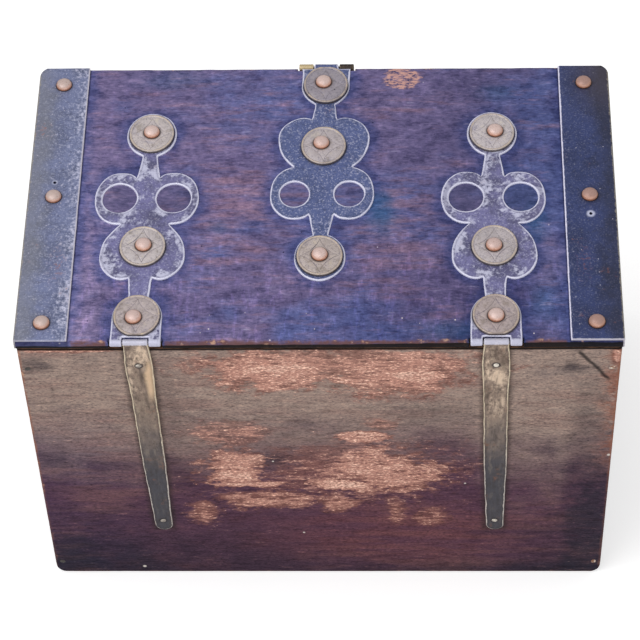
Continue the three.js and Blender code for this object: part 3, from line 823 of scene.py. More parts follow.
def crack_and_chips(s, cloud):
    """A crack at the upper corner, and pale chips."""
    x = s.total(s.x, 0.2061)
    z = s.minus(s.z, 0.2881)
    along = s.total(s.product(x, 0.574), s.product(z, 0.819))
    over = s.total(s.product(x, -0.819), s.product(z, 0.574))
    over = s.total(over, s.sway(cloud, 0.006))
    line = s.product(s.ramp(s.math("ABSOLUTE", over), 0.0026, 0.0002),
                     s.ramp(s.math("ABSOLUTE", along), 0.024, 0.019))
    s.paint(line, "#1d1a1c", 0.85)
    for x, z, radius in ((39.5, 162, 0.8), (-223.5, 170.5, 1.3), (130, 134, 0.9), (152, 9, 1.4),
                         (18, 60, 0.9), (-112, 131, 0.8)):
        s.paint(s.spot((x, z), (radius, radius), (s.x, s.z)), "#d8cfc8")


def lid_wood():
    """Blue and violet lacquer over wood, rubbed rose along the grain and brown at the edges, with painted
    shade on its −X half, its lower edge, beside the bands and in the eye holes.
    """
    s = Surface("lid_wood")
    slow = s.noise((8.0, 11.0, 11.0), 3, 0.55, shift=21.0)
    cloud = s.noise((20.0, 34.0, 34.0), 5, 0.64, shift=2.0)
    streaks = s.noise((28.0, 150.0, 150.0), 5, 0.66, shift=6.0)
    fibres = s.noise((230.0, 640.0, 640.0), 3, 0.66, shift=1.0)
    mottle = s.noise((85.0, 140.0, 140.0), 4, 0.66, shift=9.0)
    grit = s.noise((480.0, 620.0, 620.0), 2, 0.7, shift=12.0)
    near = s.total(s.value("near"), s.sway(cloud, 26.0), s.sway(mottle, 14.0))
    hue = s.total(slow, s.sway(cloud, 0.6), s.ramp(s.x, 0.0, 0.14, end=-0.11))
    s.base = s.mix(s.ramp(hue, 0.4, 0.62), "lid_violet", "lid_blue")
    s.wash(near, 11.0, 0.0, 0.75, "lid_halo")
    ragged = s.total(s.sway(mottle, 2.0), s.sway(cloud, 2.0))
    rose = s.patches(LID_ROSE_SPOTS, (s.x, s.y), ragged, 0.9)
    rose = s.product(s.ramp(s.total(s.product(rose, 0.24), streaks, s.sway(cloud, 0.6)), 0.52, 0.82),
                     s.ramp(near, 1.0, 12.0, 0.3, 1.0))
    s.paint(rose, "lid_rose", 0.65)
    teal = s.patches(LID_TEAL_SPOTS, (s.x, s.y), ragged, 0.9)
    s.paint(teal, "#2f6390", 0.6)
    s.stain(cloud, 0.5, 0.34, 0.4, (0.62, 0.63, 0.7))
    s.stain(mottle, 0.49, 0.34, 0.75, (0.5, 0.51, 0.6))
    s.stain(mottle, 0.52, 0.66, 0.7, (1.55, 1.5, 1.38))
    s.stain(streaks, 0.47, 0.33, 0.5, (0.52, 0.5, 0.6))
    s.stain(fibres, 0.5, 0.34, 0.6, (0.45, 0.45, 0.54))
    s.stain(fibres, 0.53, 0.68, 0.6, (1.6, 1.52, 1.42))
    strokes = s.noise((260.0, 62.0, 62.0), 4, 0.66, shift=25.0)
    across = s.ramp(s.total(s.y, s.sway(cloud, 0.2)), 0.02, 0.09, 0.35, 1.0)
    s.tint(s.product(s.ramp(strokes, 0.52, 0.68), across), (1.5, 1.42, 1.5), 0.75)
    s.tint(s.product(s.ramp(strokes, 0.46, 0.32), across), (0.6, 0.62, 0.68), 0.6)
    s.wash(grit, 0.62, 0.8, 0.3, "#b0a5c4")
    # Painted shade: the lid is darker towards −X, and in a patch near the back.
    s.stain(s.x, 0.01, -0.15, 0.7, (0.6, 0.64, 0.72))
    outer = s.product(s.ramp(s.math("ABSOLUTE", s.x), 0.152, 0.174), s.ramp(s.y, -0.07, 0.02, 0.25, 0.95),
                      s.ramp(s.x, -0.1, 0.1, 0.6, 1.0))
    s.tint(outer, (1.5, 1.48, 1.32))
    back_shade = s.spot((-85, 118), (100, 52), (s.x, s.y), s.sway(cloud, 1.2), 0.8)
    s.tint(back_shade, (0.62, 0.6, 0.68), 0.55)
    for shift, turn in ((14.0, 0.9), (19.0, -0.6), (23.0, 1.4)):
        scratches = s.noise((26.0, 420.0, 420.0), 2, 0.5, shift=shift, turn=turn)
        marks = s.product(s.ramp(scratches, 0.68, 0.73), s.ramp(mottle, 0.48, 0.6), 0.4)
        s.paint(marks, "#a9a2c4")
    rubbed = s.spot((-62, -126), (14, 11), (s.x, s.y), s.sway(mottle, 1.6), 0.12)
    rubbed = s.product(rubbed, s.ramp(s.total(fibres, s.product(mottle, 0.25)), 0.5, 0.68))
    s.paint(rubbed, "#dba898", 0.85)
    s.paint(s.dots(0.013, 0.0008, 0.3, 0.4), "#262647")
    s.paint(s.product(s.dots(0.0065, 0.0008, 0.7, 0.3), s.ramp(s.y, 0.09, 0.125)), "#d6cbd2")
    s.paint(s.dots(0.019, 0.0007, 0.9, 0.4), "#cdc4da", 0.8)
    # Painted shade on the lid wood inside the leaves' eye holes, fainter under the hasp leaf.
    for name, leaf in LEAVES.items():
        for side in (-1, 1):
            way = np.array([[side * EYE_PLACE[0] * LEAF_WIDTH / 2, EYE_PLACE[1] * leaf["length"]]])
            x, y = leaf_on_lid(name, way)[0]
            eye = s.spot((x, y), (leaf["eye"][0] / 2, leaf["eye"][1] / 2), (s.x, s.y), 0.0, 0.08)
            s.paint(s.product(eye, 0.12 if name == "hasp" else 0.28), "#35405f")
    # Painted shadow on the lid just outside each band's inner edge.
    band_edge_shadow = s.ramp(s.minus(0.1872, s.math("ABSOLUTE", s.x)), 0.0018, 0.0002, end=0.6)
    s.paint(band_edge_shadow, "#1c1a38")
    at_back = s.above(s.y, 0.13)
    free = s.ramp(s.value("near"), 1.5, 4.0)
    patchy = s.highest(at_back, s.ramp(s.total(cloud, s.product(mottle, 0.6)), 0.72, 0.9, 0.15, 1.0))
    broken = s.ramp(s.total(streaks, s.sway(mottle, 1.2)), 0.36, 0.52, 0.55, 1.0)
    worn_edges(s, 1.7, s.product(free, patchy, broken, 0.85), "#6f4a40")
    # Painted shade over the lower part of the lid's edge, darkest at the back above the gap under the lid.
    split = s.total(s.z, s.product(s.x, 0.008), s.sway(cloud, 0.004))
    low_edge_shade = s.product(s.ramp(split, 0.3168, 0.316), s.below(s.value("rim"), 0.5),
                         s.total(s.product(at_back, 0.7), 0.3))
    s.paint(low_edge_shade, "#0b0708", 0.95)
    grain = s.noise((4.5, 95.0, 95.0), 4, 0.62, shift=7.0)
    lines = s.noise((11.0, 330.0, 330.0), 4, 0.66, shift=27.0)
    pores = s.noise((60.0, 900.0, 900.0), 2, 0.6, shift=17.0)
    bare_wood(s, grain, lines, pores, cloud)
    s.bump(fibres, 0.0003, 0.5)
    s.bump(mottle, 0.0011, 0.5)
    s.bump(cloud, 0.002, 0.35)
    return s.done(s.ramp(mottle, 0.3, 0.7, 0.6, 0.46), specular=0.1)


def speckled(s, body, depth, frosted, flecked):
    """Iron's dark and pale speckle, at three grains; returns the two coarser ones."""
    cloud = s.noise(34.0, 4, 0.62, shift=4.0)
    grit = s.noise(330.0, 4, 0.72, shift=8.0)
    pits = s.noise(760.0, 2, 0.6, shift=5.0)
    s.base = s.mix(s.ramp(cloud, 0.4, 0.62, end=depth), body, shade(body, 0.5))
    s.wash(grit, 0.5, 0.32, 0.6, shade(body, 0.4))
    s.wash(s.total(grit, frosted(cloud)), 0.5, 0.78, 0.85, "frost")
    s.wash(pits, 0.52, 0.72, flecked, "frost")
    s.bump(grit, 0.0004, 0.5)
    s.bump(pits, 0.0002, 0.4)
    return cloud, grit


def nail_shadow_and_grime(s, radius):
    """A dark ring where a nail's head meets the metal: painted shadow close to the head, soft grime further
    out.
    """
    away = s.nail_distance()
    near = s.ramp(away, radius + 1.1, radius + 0.2, end=0.6)
    s.paint(s.total(near, s.ramp(away, radius + 3.2, radius, end=0.25)), "#1d1720")


def leaf_iron(name, body, knuckles):
    """A leaf's iron: frosted near its cut edges, which are rubbed bright, silvery over the knuckles from
    rubbed iron and a painted highlight.
    """
    s = Surface(name)
    rim = s.value("rim")

    def frosted(cloud):
        blotches = s.sway(s.noise(90.0, 3, 0.6, shift=16.0), 1.1)
        if knuckles:
            return s.total(s.ramp(rim, 9.0, 1.2, -0.06, 0.1), s.sway(cloud, 0.9), blotches)
        return s.total(s.ramp(rim, 5.0, 1.5, -0.1, 0.02), s.product(blotches, 0.3))

    cloud, grit = speckled(s, body, 1.0 if knuckles else 0.3, frosted, 0.4 if knuckles else 0.5)
    s.paint(s.product(s.ramp(cloud, 0.6, 0.7), s.ramp(grit, 0.5, 0.62)), "#8d6a6c", 0.5)
    # Painted shade in a faint band just inside the rubbed edge.
    s.paint(s.product(s.ramp(rim, 1.3, 1.9), s.ramp(rim, 3.0, 2.0)), shade(body, 0.45), 0.35)
    worn = s.total(rim, s.sway(grit, 1.9), s.sway(cloud, 2.6))
    s.wash(worn, 1.3, 0.7, 0.95, "#e4e3f6")
    if knuckles:
        # Rubbed iron and a painted highlight over the knuckle's barrel.
        knuckle_wear_and_highlight = s.ramp(s.total(s.y, s.sway(grit, 0.003)), 0.1352, 0.1366)
        s.paint(knuckle_wear_and_highlight, "#cfcfe4", 0.85)
    nail_shadow_and_grime(s, ROUNDEL_RADIUS)
    return s.done(s.ramp(grit, 0.3, 0.7, 0.62, 0.42), 0.3)


def band_iron(side):
    """The band's iron: rubbed bright along its inner edge, mottled, and rusty in spots."""
    right = side > 0
    s = Surface(f"band_iron_{SIDES[right]}")
    inward = s.product(s.minus(s.product(s.x, float(side)), 0.187), 1000.0)

    def frosted(cloud):
        near_line = s.ramp(inward, 16.0, 1.0, -0.05, 0.09 if right else 0.03)
        return s.total(near_line, s.sway(cloud, 0.4 if right else 0.2), 0.0 if right else -0.1)

    cloud, grit = speckled(s, "band_slate" if right else "band_navy", 0.6, frosted, 0.4 if right else 0.14)
    outer = s.product(s.ramp(s.total(inward, s.sway(cloud, 30.0)), 18.0, 36.0), 0.5)
    s.paint(outer, "#85858a" if right else "#27262e")
    s.paint(s.dots(0.0042, 0.0005, 0.4, 0.3 if right else 0.1), "#c4bfd0")
    rust = s.spot((200, 63), (9, 26), (s.product(s.x, float(side)), s.y), s.product(cloud, 1.2), 0.8)
    rust = s.product(s.highest(rust, s.ramp(cloud, 0.6, 0.7)), s.ramp(grit, 0.52, 0.62),
                     0.8 if right else 0.6)
    s.paint(rust, "#8a5648")
    if not right:
        corner = s.spot((-222, -130), (22, 34), (s.x, s.y), s.sway(cloud, 1.4), 0.8)
        s.paint(corner, "#4a4144", 0.6)
    line = s.total(inward, s.sway(grit, 1.5), s.sway(cloud, 0.8))
    s.wash(line, 1.5, 0.8, 0.75 if right else 1.0, "#d2cbd4" if right else "#e9e6fb")
    outer_edge = s.total(inward, s.sway(grit, 4.0))
    s.wash(outer_edge, 38.6, 39.4, 0.6, "#a39b8a")
    back = s.total(s.y, s.sway(grit, 0.0016))
    s.wash(back, 0.1354, 0.1361, 0.35 if right else 0.8, "#cfcad8")
    name = SIDES[right]
    spare = (centre(f"{name}_band_dome_middle").x * MM, SPARE_HOLES[name] * MM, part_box("lid_board")[1].z)
    away = s.vector("DISTANCE", s.where, spare)
    away = s.total(s.product(away, 1000.0), s.sway(grit, 1.2))
    ring = s.product(s.ramp(away, 1.6, 1.9), s.ramp(away, 3.1 if right else 4.4, 2.3),
                     0.4 if right else 0.85)
    s.paint(ring, "#cfd2ea")
    # Painted shade: a near-black dot stands for the empty nail hole, which is not cut.
    s.paint(s.ramp(away, 1.9, 1.5), "#0c0a10")
    nail_shadow_and_grime(s, 6.2)
    return s.done(s.ramp(grit, 0.3, 0.7, 0.64, 0.44), 0.3)


def strap_iron():
    """Sheet iron, bronze-brown near the pin and slate at the tip, with cream rubbed edges."""
    s = Surface("strap_iron")
    cloud = s.noise((60.0, 60.0, 45.0), 4, 0.64, shift=4.0)
    grit = s.noise((420.0, 420.0, 260.0), 4, 0.72, shift=8.0)
    brushed = s.noise((300.0, 300.0, 60.0), 3, 0.62, shift=2.0)
    fall = s.ramp(s.total(s.z, s.sway(cloud, 0.1)), 0.255, 0.14)
    s.base = s.mix(fall, "strap_bronze", "strap_slate")
    s.wash(brushed, 0.5, 0.3, 0.45, "#2c2724")
    s.paint(s.product(s.ramp(brushed, 0.52, 0.72), s.ramp(s.z, 0.12, 0.25, 0.2, 1.0)), "#b5a58f", 0.5)
    s.wash(grit, 0.5, 0.32, 0.5, "#3c332e")
    s.paint(s.product(s.ramp(cloud, 0.56, 0.66), s.ramp(grit, 0.45, 0.6)), "#85543a", 0.65)
    patch = s.noise((46.0, 46.0, 30.0), 4, 0.62, shift=13.0)
    dark = s.product(s.ramp(s.total(patch, s.product(grit, 0.3)), 0.66, 0.52), s.ramp(s.z, 0.2, 0.29), 0.6)
    s.paint(dark, "#4c3a30")
    pale = s.product(s.ramp(s.total(patch, s.product(grit, 0.4)), 0.7, 0.84), s.ramp(s.z, 0.19, 0.27),
                     s.ramp(brushed, 0.36, 0.56, 0.25, 0.85))
    s.paint(pale, "#ecd2b8")
    x, _, z = centre("right_pin")
    over = s.minus(s.x, s.minus(x * MM, s.product(s.minus(z * MM, s.z), math.tan(STRAP_LEAN))))
    lit = s.product(s.ramp(s.total(over, s.sway(patch, 0.012)), -0.003, -0.007),
                    s.ramp(s.math("ABSOLUTE", s.minus(s.z, 0.272)), 0.032, 0.012), s.above(s.x, 0.0))
    s.paint(lit, "#edcba6", 0.8)
    rim = s.value("rim")
    s.wash(rim, 3.2, 1.2, 0.3, "#241f20")
    worn = s.total(rim, s.sway(grit, 1.8), s.sway(cloud, 1.2))
    edge = s.mix(s.ramp(s.z, 0.12, 0.24), "#dcd3cb", "strap_cream")
    s.wash(worn, 1.0, 0.5, 0.95, edge)
    # Rubbed iron and a painted highlight along the top of the strap's roll.
    knuckle_wear_and_highlight = s.ramp(s.total(s.z, s.sway(grit, 0.002)), 0.3178, 0.319)
    s.paint(knuckle_wear_and_highlight, "#cdcde0", 0.85)
    nail_shadow_and_grime(s, 2.6)
    s.bump(grit, 0.0003, 0.5)
    s.bump(brushed, 0.0002, 0.4)
    return s.done(s.ramp(grit, 0.3, 0.7, 0.58, 0.4), 0.35)


def roundel_alloy():
    """Grey-beige cast alloy with dirt in the engraved lines and a rubbed rim."""
    s = Surface("roundel_alloy")
    cloud = s.noise(80.0, 4, 0.64, shift=3.0)
    grit = s.noise(560.0, 3, 0.72, shift=8.0)
    s.base = s.mix(s.ramp(cloud, 0.4, 0.64, end=0.6), "alloy", shade("alloy", 0.74))
    s.wash(cloud, 0.46, 0.3, 0.5, "#9c98ac")
    s.wash(grit, 0.5, 0.32, 0.42, "alloy_line")
    s.wash(grit, 0.56, 0.76, 0.3, "#e6dccb")
    blots = s.noise(150.0, 4, 0.66, shift=14.0)
    s.wash(blots, 0.54, 0.68, 0.5, "#8e8378")
    s.wash(blots, 0.44, 0.32, 0.5, "#ded3c4")
    kept = s.ramp(s.total(blots, s.product(cloud, 0.6)), 0.92, 0.72, 0.3, 1.0)
    for name, spot, strength, code, gone in ROUNDEL_WEAR:
        x, y, _ = centre(f"{name}_roundel_{spot}")
        here = s.spot((x, y), (19, 21), (s.x, s.y), 0.0, 0.1)
        s.tint(s.product(here, strength), code)
        kept = s.product(kept, s.minus(1.0, s.product(here, gone)))
    s.paint(s.product(s.value("line"), kept, s.ramp(grit, 0.25, 0.5, 0.6, 1.0)), "alloy_line")
    rim = s.product(s.ramp(s.value("rim"), 0.3, 0.95), s.ramp(grit, 0.3, 0.6, 0.3, 0.95),
                    s.ramp(blots, 0.34, 0.6, 1.0, 0.5))
    s.paint(rim, "alloy_rim")
    # Grime and painted shade over the roundel's outer wall and underside.
    s.paint(s.value("dirt"), "#2d2320", 0.9)
    s.paint(s.dots(0.0095, 0.0008, 0.2, 0.35), "#3d3a48")
    # Painted shade round the dome: a soft brownish ring, and a dark painted shadow where the dome's foot
    # meets the roundel.
    away = s.nail_distance()
    s.wash(away, 8.6, 7.0, 0.35, "#6e5f58")
    s.wash(s.total(away, s.sway(grit, 0.6)), 7.4, 6.5, 0.85, "#2c2022")
    s.bump(grit, 0.0002, 0.4)
    s.bump(cloud, 0.0006, 0.3)
    return s.done(s.ramp(grit, 0.3, 0.7, 0.6, 0.42), 0.25)


def dome_copper():
    """Copper, pale pink on top with a painted highlight, darker towards the foot with tarnish and painted
    shade, and a painted shadow at the foot's edge.
    """
    s = Surface("dome_copper")
    cloud = s.noise(150.0, 3, 0.62, shift=3.0)
    grit = s.noise(700.0, 3, 0.72, shift=8.0)
    rise = s.value("rise")
    foot_shade = s.total(rise, s.sway(grit, 0.3), s.sway(cloud, 0.4))
    s.base = s.mix(s.product(s.value("tone"), 0.4), "copper", "#c2a39c")
    s.wash(s.x, 0.18, 0.19, 0.8, "#c6b1aa")
    s.wash(s.x, -0.18, -0.19, 0.85, "#a98378")
    s.wash(foot_shade, 0.8, 0.35, 0.8, "#ddaa92")
    s.paint(s.ramp(foot_shade, 0.42, 0.1), "copper_shade")
    # Painted shadow at the very foot of the dome.
    s.wash(rise, 0.12, 0.02, 0.8, "#32190f")
    s.wash(grit, 0.46, 0.3, 0.35, "#8a553f")
    s.bump(grit, 0.0002, 0.5)
    return s.done(s.ramp(cloud, 0.3, 0.7, 0.52, 0.36), 0.3)


def plain_metal(name, body, hollow, bright, worn=0.6, metallic=0.5, rolled=False, stained=False):
    """Small forged pieces: dark in the hollows and rubbed bright in patches and along their edges."""
    s = Surface(name)
    cloud = s.noise(110.0, 4, 0.62, shift=3.0)
    grit = s.noise(800.0, 3, 0.72, shift=8.0)
    s.base = s.mix(s.ramp(cloud, 0.44, 0.62), body, hollow)
    s.wash(grit, 0.48, 0.34, 0.45, hollow)
    s.wash(s.total(grit, s.sway(cloud, -1.2)), 0.5, 0.74, worn, bright)
    s.paint(s.product(s.ramp(s.value("rim"), 1.3, 0.7), s.ramp(s.value("rim"), 0.0, 0.001)), bright, 0.6)
    s.paint(s.product(s.value("rise"), s.ramp(s.total(cloud, s.product(grit, 0.5)), 0.5, 0.75)), bright)
    if rolled:
        # Painted light and shade on the roll's top: a pale painted highlight over the +X half, dark painted
        # shade over the −X half.
        top = s.ramp(s.total(s.z, s.sway(grit, 0.002)), 0.3175, 0.3188)
        pale = s.above(s.x, 0.0)
        s.paint(s.product(top, pale), "#d9c49a", 0.8)
        s.paint(s.product(top, s.minus(1.0, pale)), "#33292a", 0.75)
    if stained:
        out = s.ramp(s.total(grit, s.sway(cloud, -1.2)), 0.72, 0.56)
        at_back = s.above(s.y, 0.1)
        s.paint(s.product(s.below(s.x, -0.19), at_back, out), "#8a5a3c", 0.95)
        s.paint(s.product(s.above(s.x, 0.19), at_back), "#2e2826", 0.96)
    s.bump(grit, 0.0002, 0.5)
    return s.done(s.ramp(cloud, 0.3, 0.7, 0.5, 0.36), metallic)


def brass(name, rolled=False):
    """The yellow metal of the hasp and its staples."""
    return plain_metal(name, "brass", "brass_shade", "brass_bright", 0.35, 0.6, rolled)


# Geometry trees
NAIL_INPUTS = {"Float": ("Radius", "Height", "Shank radius", "Shank length", "Dents"), "Int": ("Seed",)}


class Growth(Graph):
    """A geometry tree with inputs named by kind; size holds its input node's outputs by name."""

    def __init__(self, name, **inputs):
        super().__init__(bpy.data.node_groups.new(name, "GeometryNodeTree"))
        named = [(label, kind) for kind, labels in inputs.items() for label in labels]
        sockets = self.tree.interface
        for label, kind in (("Geometry", "Geometry"), *named, ("Material", "Material")):
            sockets.new_socket(label, in_out="INPUT", socket_type=f"NodeSocket{kind}")
        sockets.new_socket("Geometry", in_out="OUTPUT", socket_type="NodeSocketGeometry")
        self.size = {socket.name: socket for socket in self.node("NodeGroupInput").outputs if socket.name}

    def position(self):
        return self.add("GeometryNodeInputPosition")

    def moved(self, geometry, **way):
        return self.add("GeometryNodeSetPosition", {"Geometry": geometry, **way})

    def transformed(self, geometry, **how):
        return self.add("GeometryNodeTransform", {"Geometry": geometry, **how})

    def stored(self, geometry, name, value, domain):
        inputs = {"Geometry": geometry, "Name": name, "Value": value}
        return self.add("GeometryNodeStoreNamedAttribute", inputs, data_type="FLOAT", domain=domain)

    def read(self, name, kind):
        return self.add("GeometryNodeInputNamedAttribute", {"Name": name}, data_type=kind)

    def plain(self, geometry):
        return self.add("GeometryNodeRealizeInstances", {0: geometry})

    def smooth(self, geometry):
        return self.add("GeometryNodeSetShadeSmooth", {"Geometry": geometry})

    def close(self, geometry):
        """Ends the tree in plain geometry with its material."""
        inputs = {"Geometry": self.plain(geometry), "Material": self.size["Material"]}
        self.node("NodeGroupOutput", {0: self.add("GeometryNodeSetMaterial", inputs)})
        return self.tree

    def dented(self, geometry, grain, share=None):
        """Moves each point inwards along its normal by noise of up to the dents' depth."""
        position = self.position()
        normal = self.add("GeometryNodeInputNormal")
        cell = self.add("ShaderNodeTexNoise", {"Vector": position, "W": self.size["Seed"], "Scale": grain,
                                               "Detail": 1.0}, noise_dimensions="4D")
        push = self.product(cell, self.size["Dents"], -1.0)
        if share is not None:
            push = self.product(push, share)
        offset = self.add("ShaderNodeVectorMath", {0: normal, "Scale": push}, operation="SCALE")
        return self.moved(geometry, Offset=offset)

    def nailed(self, head, sides):
        """The head on its shank, copied to each point with its Z along the point's aim, turned by chance."""
        shank = self.add("GeometryNodeMeshCylinder", {"Vertices": sides, "Radius": self.size["Shank radius"],
                                                      "Depth": self.size["Shank length"]})
        down = self.combined(0.0, 0.0, self.product(self.size["Shank length"], -0.49))
        shank = self.transformed(shank, Translation=down)
        nail = self.node("GeometryNodeJoinGeometry")
        for part in (head, shank):
            self.put(nail.inputs[0], part)
        aim = self.read("aim", "FLOAT_VECTOR")
        facing = self.add("FunctionNodeAlignRotationToVector", {"Vector": aim}, axis="Z")
        chance = self.add("FunctionNodeRandomValue", {"Min": 0.0, "Max": 1.0, "Seed": self.size["Seed"]}, 1,
                          data_type="FLOAT")
        spin = self.add("FunctionNodeAxisAngleToRotation", {"Axis": (0.0, 0.0, 1.0),
                                                            "Angle": self.product(chance, math.tau)})
        turn = self.add("FunctionNodeRotateRotation", {0: facing, 1: spin}, rotation_space="LOCAL")
        copies = self.add("GeometryNodeInstanceOnPoints", {
            "Points": self.size["Geometry"], "Instance": nail.outputs[0], "Rotation": turn})
        return self.plain(self.stored(copies, "tone", chance, "INSTANCE"))


def dome_tree():
    """Domed nails: a sphere flattened below its middle, on a shank, dented, at every point."""
    g = Growth("domed_nails", **NAIL_INPUTS)
    ball = g.add("GeometryNodeMeshUVSphere", {"Segments": 28, "Rings": 20, "Radius": 1.0})
    x, y, z = g.xyz(g.position())
    dome = g.moved(ball, Position=g.combined(x, y, g.math("POWER", g.highest(z, 0.0), 0.85)))
    dome = g.stored(dome, "rise", g.highest(z, 0.0), "POINT")
    dome = g.transformed(dome, Scale=g.combined(g.size["Radius"], g.size["Radius"], g.size["Height"]))
    plain = g.nailed(dome, 10)
    return g.close(g.smooth(g.dented(plain, 230.0, g.read("rise", "FLOAT"))))


def small_nail_tree():
    """Small nails: a low hammered cone on a shank, at every point, each turned and dented its own way."""
    g = Growth("small_nails", **NAIL_INPUTS)
    head = g.add("GeometryNodeMeshCone", {"Vertices": 12, "Side Segments": 5, "Fill Segments": 3,
                                          "Radius Top": 0.4, "Radius Bottom": 1.0, "Depth": 1.0})
    scale = g.combined(g.size["Radius"], g.product(g.size["Radius"], 0.86), g.size["Height"])
    head = g.transformed(head, Scale=scale)
    x, y, z = g.xyz(g.position())
    head = g.moved(head, Position=g.combined(x, y, g.lowest(z, g.product(g.size["Height"], 0.97))))
    return g.close(g.dented(g.nailed(head, 8), 700.0))


def roundel_tree():
    """Roundels: one engraved disc copied to every point, cut straight where it meets the knuckles."""
    g = Growth("roundels", Object=("Disc",), Float=("Front limit", "Back limit"))
    disc = g.add("GeometryNodeObjectInfo", {"Object": g.size["Disc"]}, "Geometry")
    copies = g.add("GeometryNodeInstanceOnPoints", {"Points": g.size["Geometry"], "Instance": disc})
    plain = g.plain(copies)
    x, y, z = g.xyz(g.position())
    cut = g.highest(g.lowest(y, g.size["Back limit"]), g.size["Front limit"])
    return g.close(g.moved(plain, Position=g.combined(x, cut, z)))


def board_tree():
    """A board: a block with rounded edges, lower corners rounded further, worn in places along its edges."""
    lengths = ("Width", "Depth", "Height")
    cuts = ("Cuts across", "Cuts deep", "Cuts high")
    g = Growth("worn_board", Float=(*lengths, "Rounding", "Corner", "Wear"), Int=("Seed", *cuts))
    vertices = {f"Vertices {axis}": g.size[label] for axis, label in zip("XYZ", cuts)}
    block = g.add("GeometryNodeMeshCube", {"Size": (2.0, 2.0, 2.0), **vertices})
    parts = g.xyz(g.position())
    halves = [g.product(g.size[label], 0.5) for label in lengths]
    x, y, z = [g.product(g.math("SINE", g.product(part, math.pi / 2)), half)
               for part, half in zip(parts, halves)]
    corner = g.product(g.size["Corner"], g.below(z, 0.0))
    x, z = pulled(g, (x, z), (halves[0], halves[2]), corner)
    worn = g.add("ShaderNodeTexNoise", {"Vector": g.position(), "W": g.size["Seed"], "Scale": 9.0,
                                        "Detail": 4.0}, noise_dimensions="4D")
    radius = g.total(g.size["Rounding"], g.product(g.ramp(worn, 0.5, 0.72), g.size["Wear"]))
    return g.close(g.smooth(g.moved(block, Position=g.combined(*pulled(g, (x, y, z), halves, radius)))))


def pulled(g, parts, halves, radius):
    """Pulls a point of a block's surface onto a block whose edges are rounded by radius."""
    inner = []
    for part, half in zip(parts, halves):
        reach = g.minus(half, radius)
        inner.append(g.highest(g.lowest(part, reach), g.product(reach, -1.0)))
    away = [g.minus(part, low) for part, low in zip(parts, inner)]
    distance = g.math("SQRT", g.total(*(g.product(part, part) for part in away)))
    scale = g.lowest(g.math("DIVIDE", radius, g.highest(distance, 1e-7)), 1.0)
    return [g.total(low, g.product(part, scale)) for low, part in zip(inner, away)]


def grown(name, tree, values, points=(), attributes=None):
    """Runs a geometry tree on a mesh of bare points and returns the result as one plain mesh piece."""
    mesh = bpy.data.meshes.new(name)
    mesh.from_pydata([tuple(p) for p in points], [], [])
    for label, vectors in (attributes or {}).items():
        mark(mesh, label, vectors)
    piece = place(name, mesh)
    modifier = piece.modifiers.new(name, "NODES")
    modifier.node_group = tree
    for item in tree.interface.items_tree:
        if item.in_out == "INPUT" and item.name in values:
            modifier[item.identifier] = values[item.name]
    result = bpy.data.meshes.new_from_object(piece.evaluated_get(bpy.context.evaluated_depsgraph_get()))
    piece.modifiers.clear()
    piece.data = result
    result.name = name
    bpy.data.meshes.remove(mesh)
    return piece


# Pieces
class PieceOperator:
    """What every operator of the chest shares."""

    bl_options = {"REGISTER", "UNDO"}

    @property
    def sizes(self):
        return bpy.context.scene.ship_chest_sizes


class SHIPCHEST_OT_boards(PieceOperator, bpy.types.Operator):
    """Back, front, side and bottom boards"""

    bl_idname = "ship_chest.boards"
    bl_label = "Boards"

    def execute(self, context):
        tree = board_tree()
        back = board_wood("board_wood_back", "x", rubbed=True)
        long_wood = board_wood("board_wood_long", "x")
        side_wood = board_wood("board_wood_side", "y")
        boards = (
            ("back_board", back, BOARD_CORNER, (96, 9, 72)),
            ("front_board", long_wood, BOARD_CORNER, (96, 9, 72)),
            ("left_side_board", side_wood, 0.0, (9, 64, 72)),
            ("right_side_board", side_wood, 0.0, (9, 64, 72)),
            ("bottom_board", long_wood, 0.0, (80, 56, 9)),
        )
        for order, (node, material, corner, cuts) in enumerate(boards):
            low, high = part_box(node)
            size = high - low
            piece = grown(f"worn_{node}", tree, {
                "Width": size.x, "Depth": size.y, "Height": size.z, "Rounding": self.sizes.board_rounding,
                "Corner": corner * MM, "Wear": self.sizes.board_wear, "Seed": self.sizes.seed + order,
                "Cuts across": cuts[0], "Cuts deep": cuts[1], "Cuts high": cuts[2], "Material": material,
            })
            piece.data.transform(Matrix.Translation((low + high) / 2))
            mark_board(piece.data, low, high)
            set_down(piece, "chest", "chest_wood", node)
        return {"FINISHED"}


def mark_board(mesh, low, high):
    """Stores each point's distance in millimetres from the board's edges, and whether it faces the inside."""
    points = corners(mesh)
    gaps = np.sort(np.minimum(points - np.array(low), np.array(high) - points), axis=1)
    mark(mesh, "rim", gaps[:, 1] / MM)
    room = 0.5 * MM
    x, y, z = points.T
    mark(mesh, "inside", (np.abs(x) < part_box("right_side_board")[0].x + room)
         & (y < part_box("back_board")[0].y + room) & (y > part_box("front_board")[1].y - room)
         & (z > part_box("bottom_board")[1].z - room))


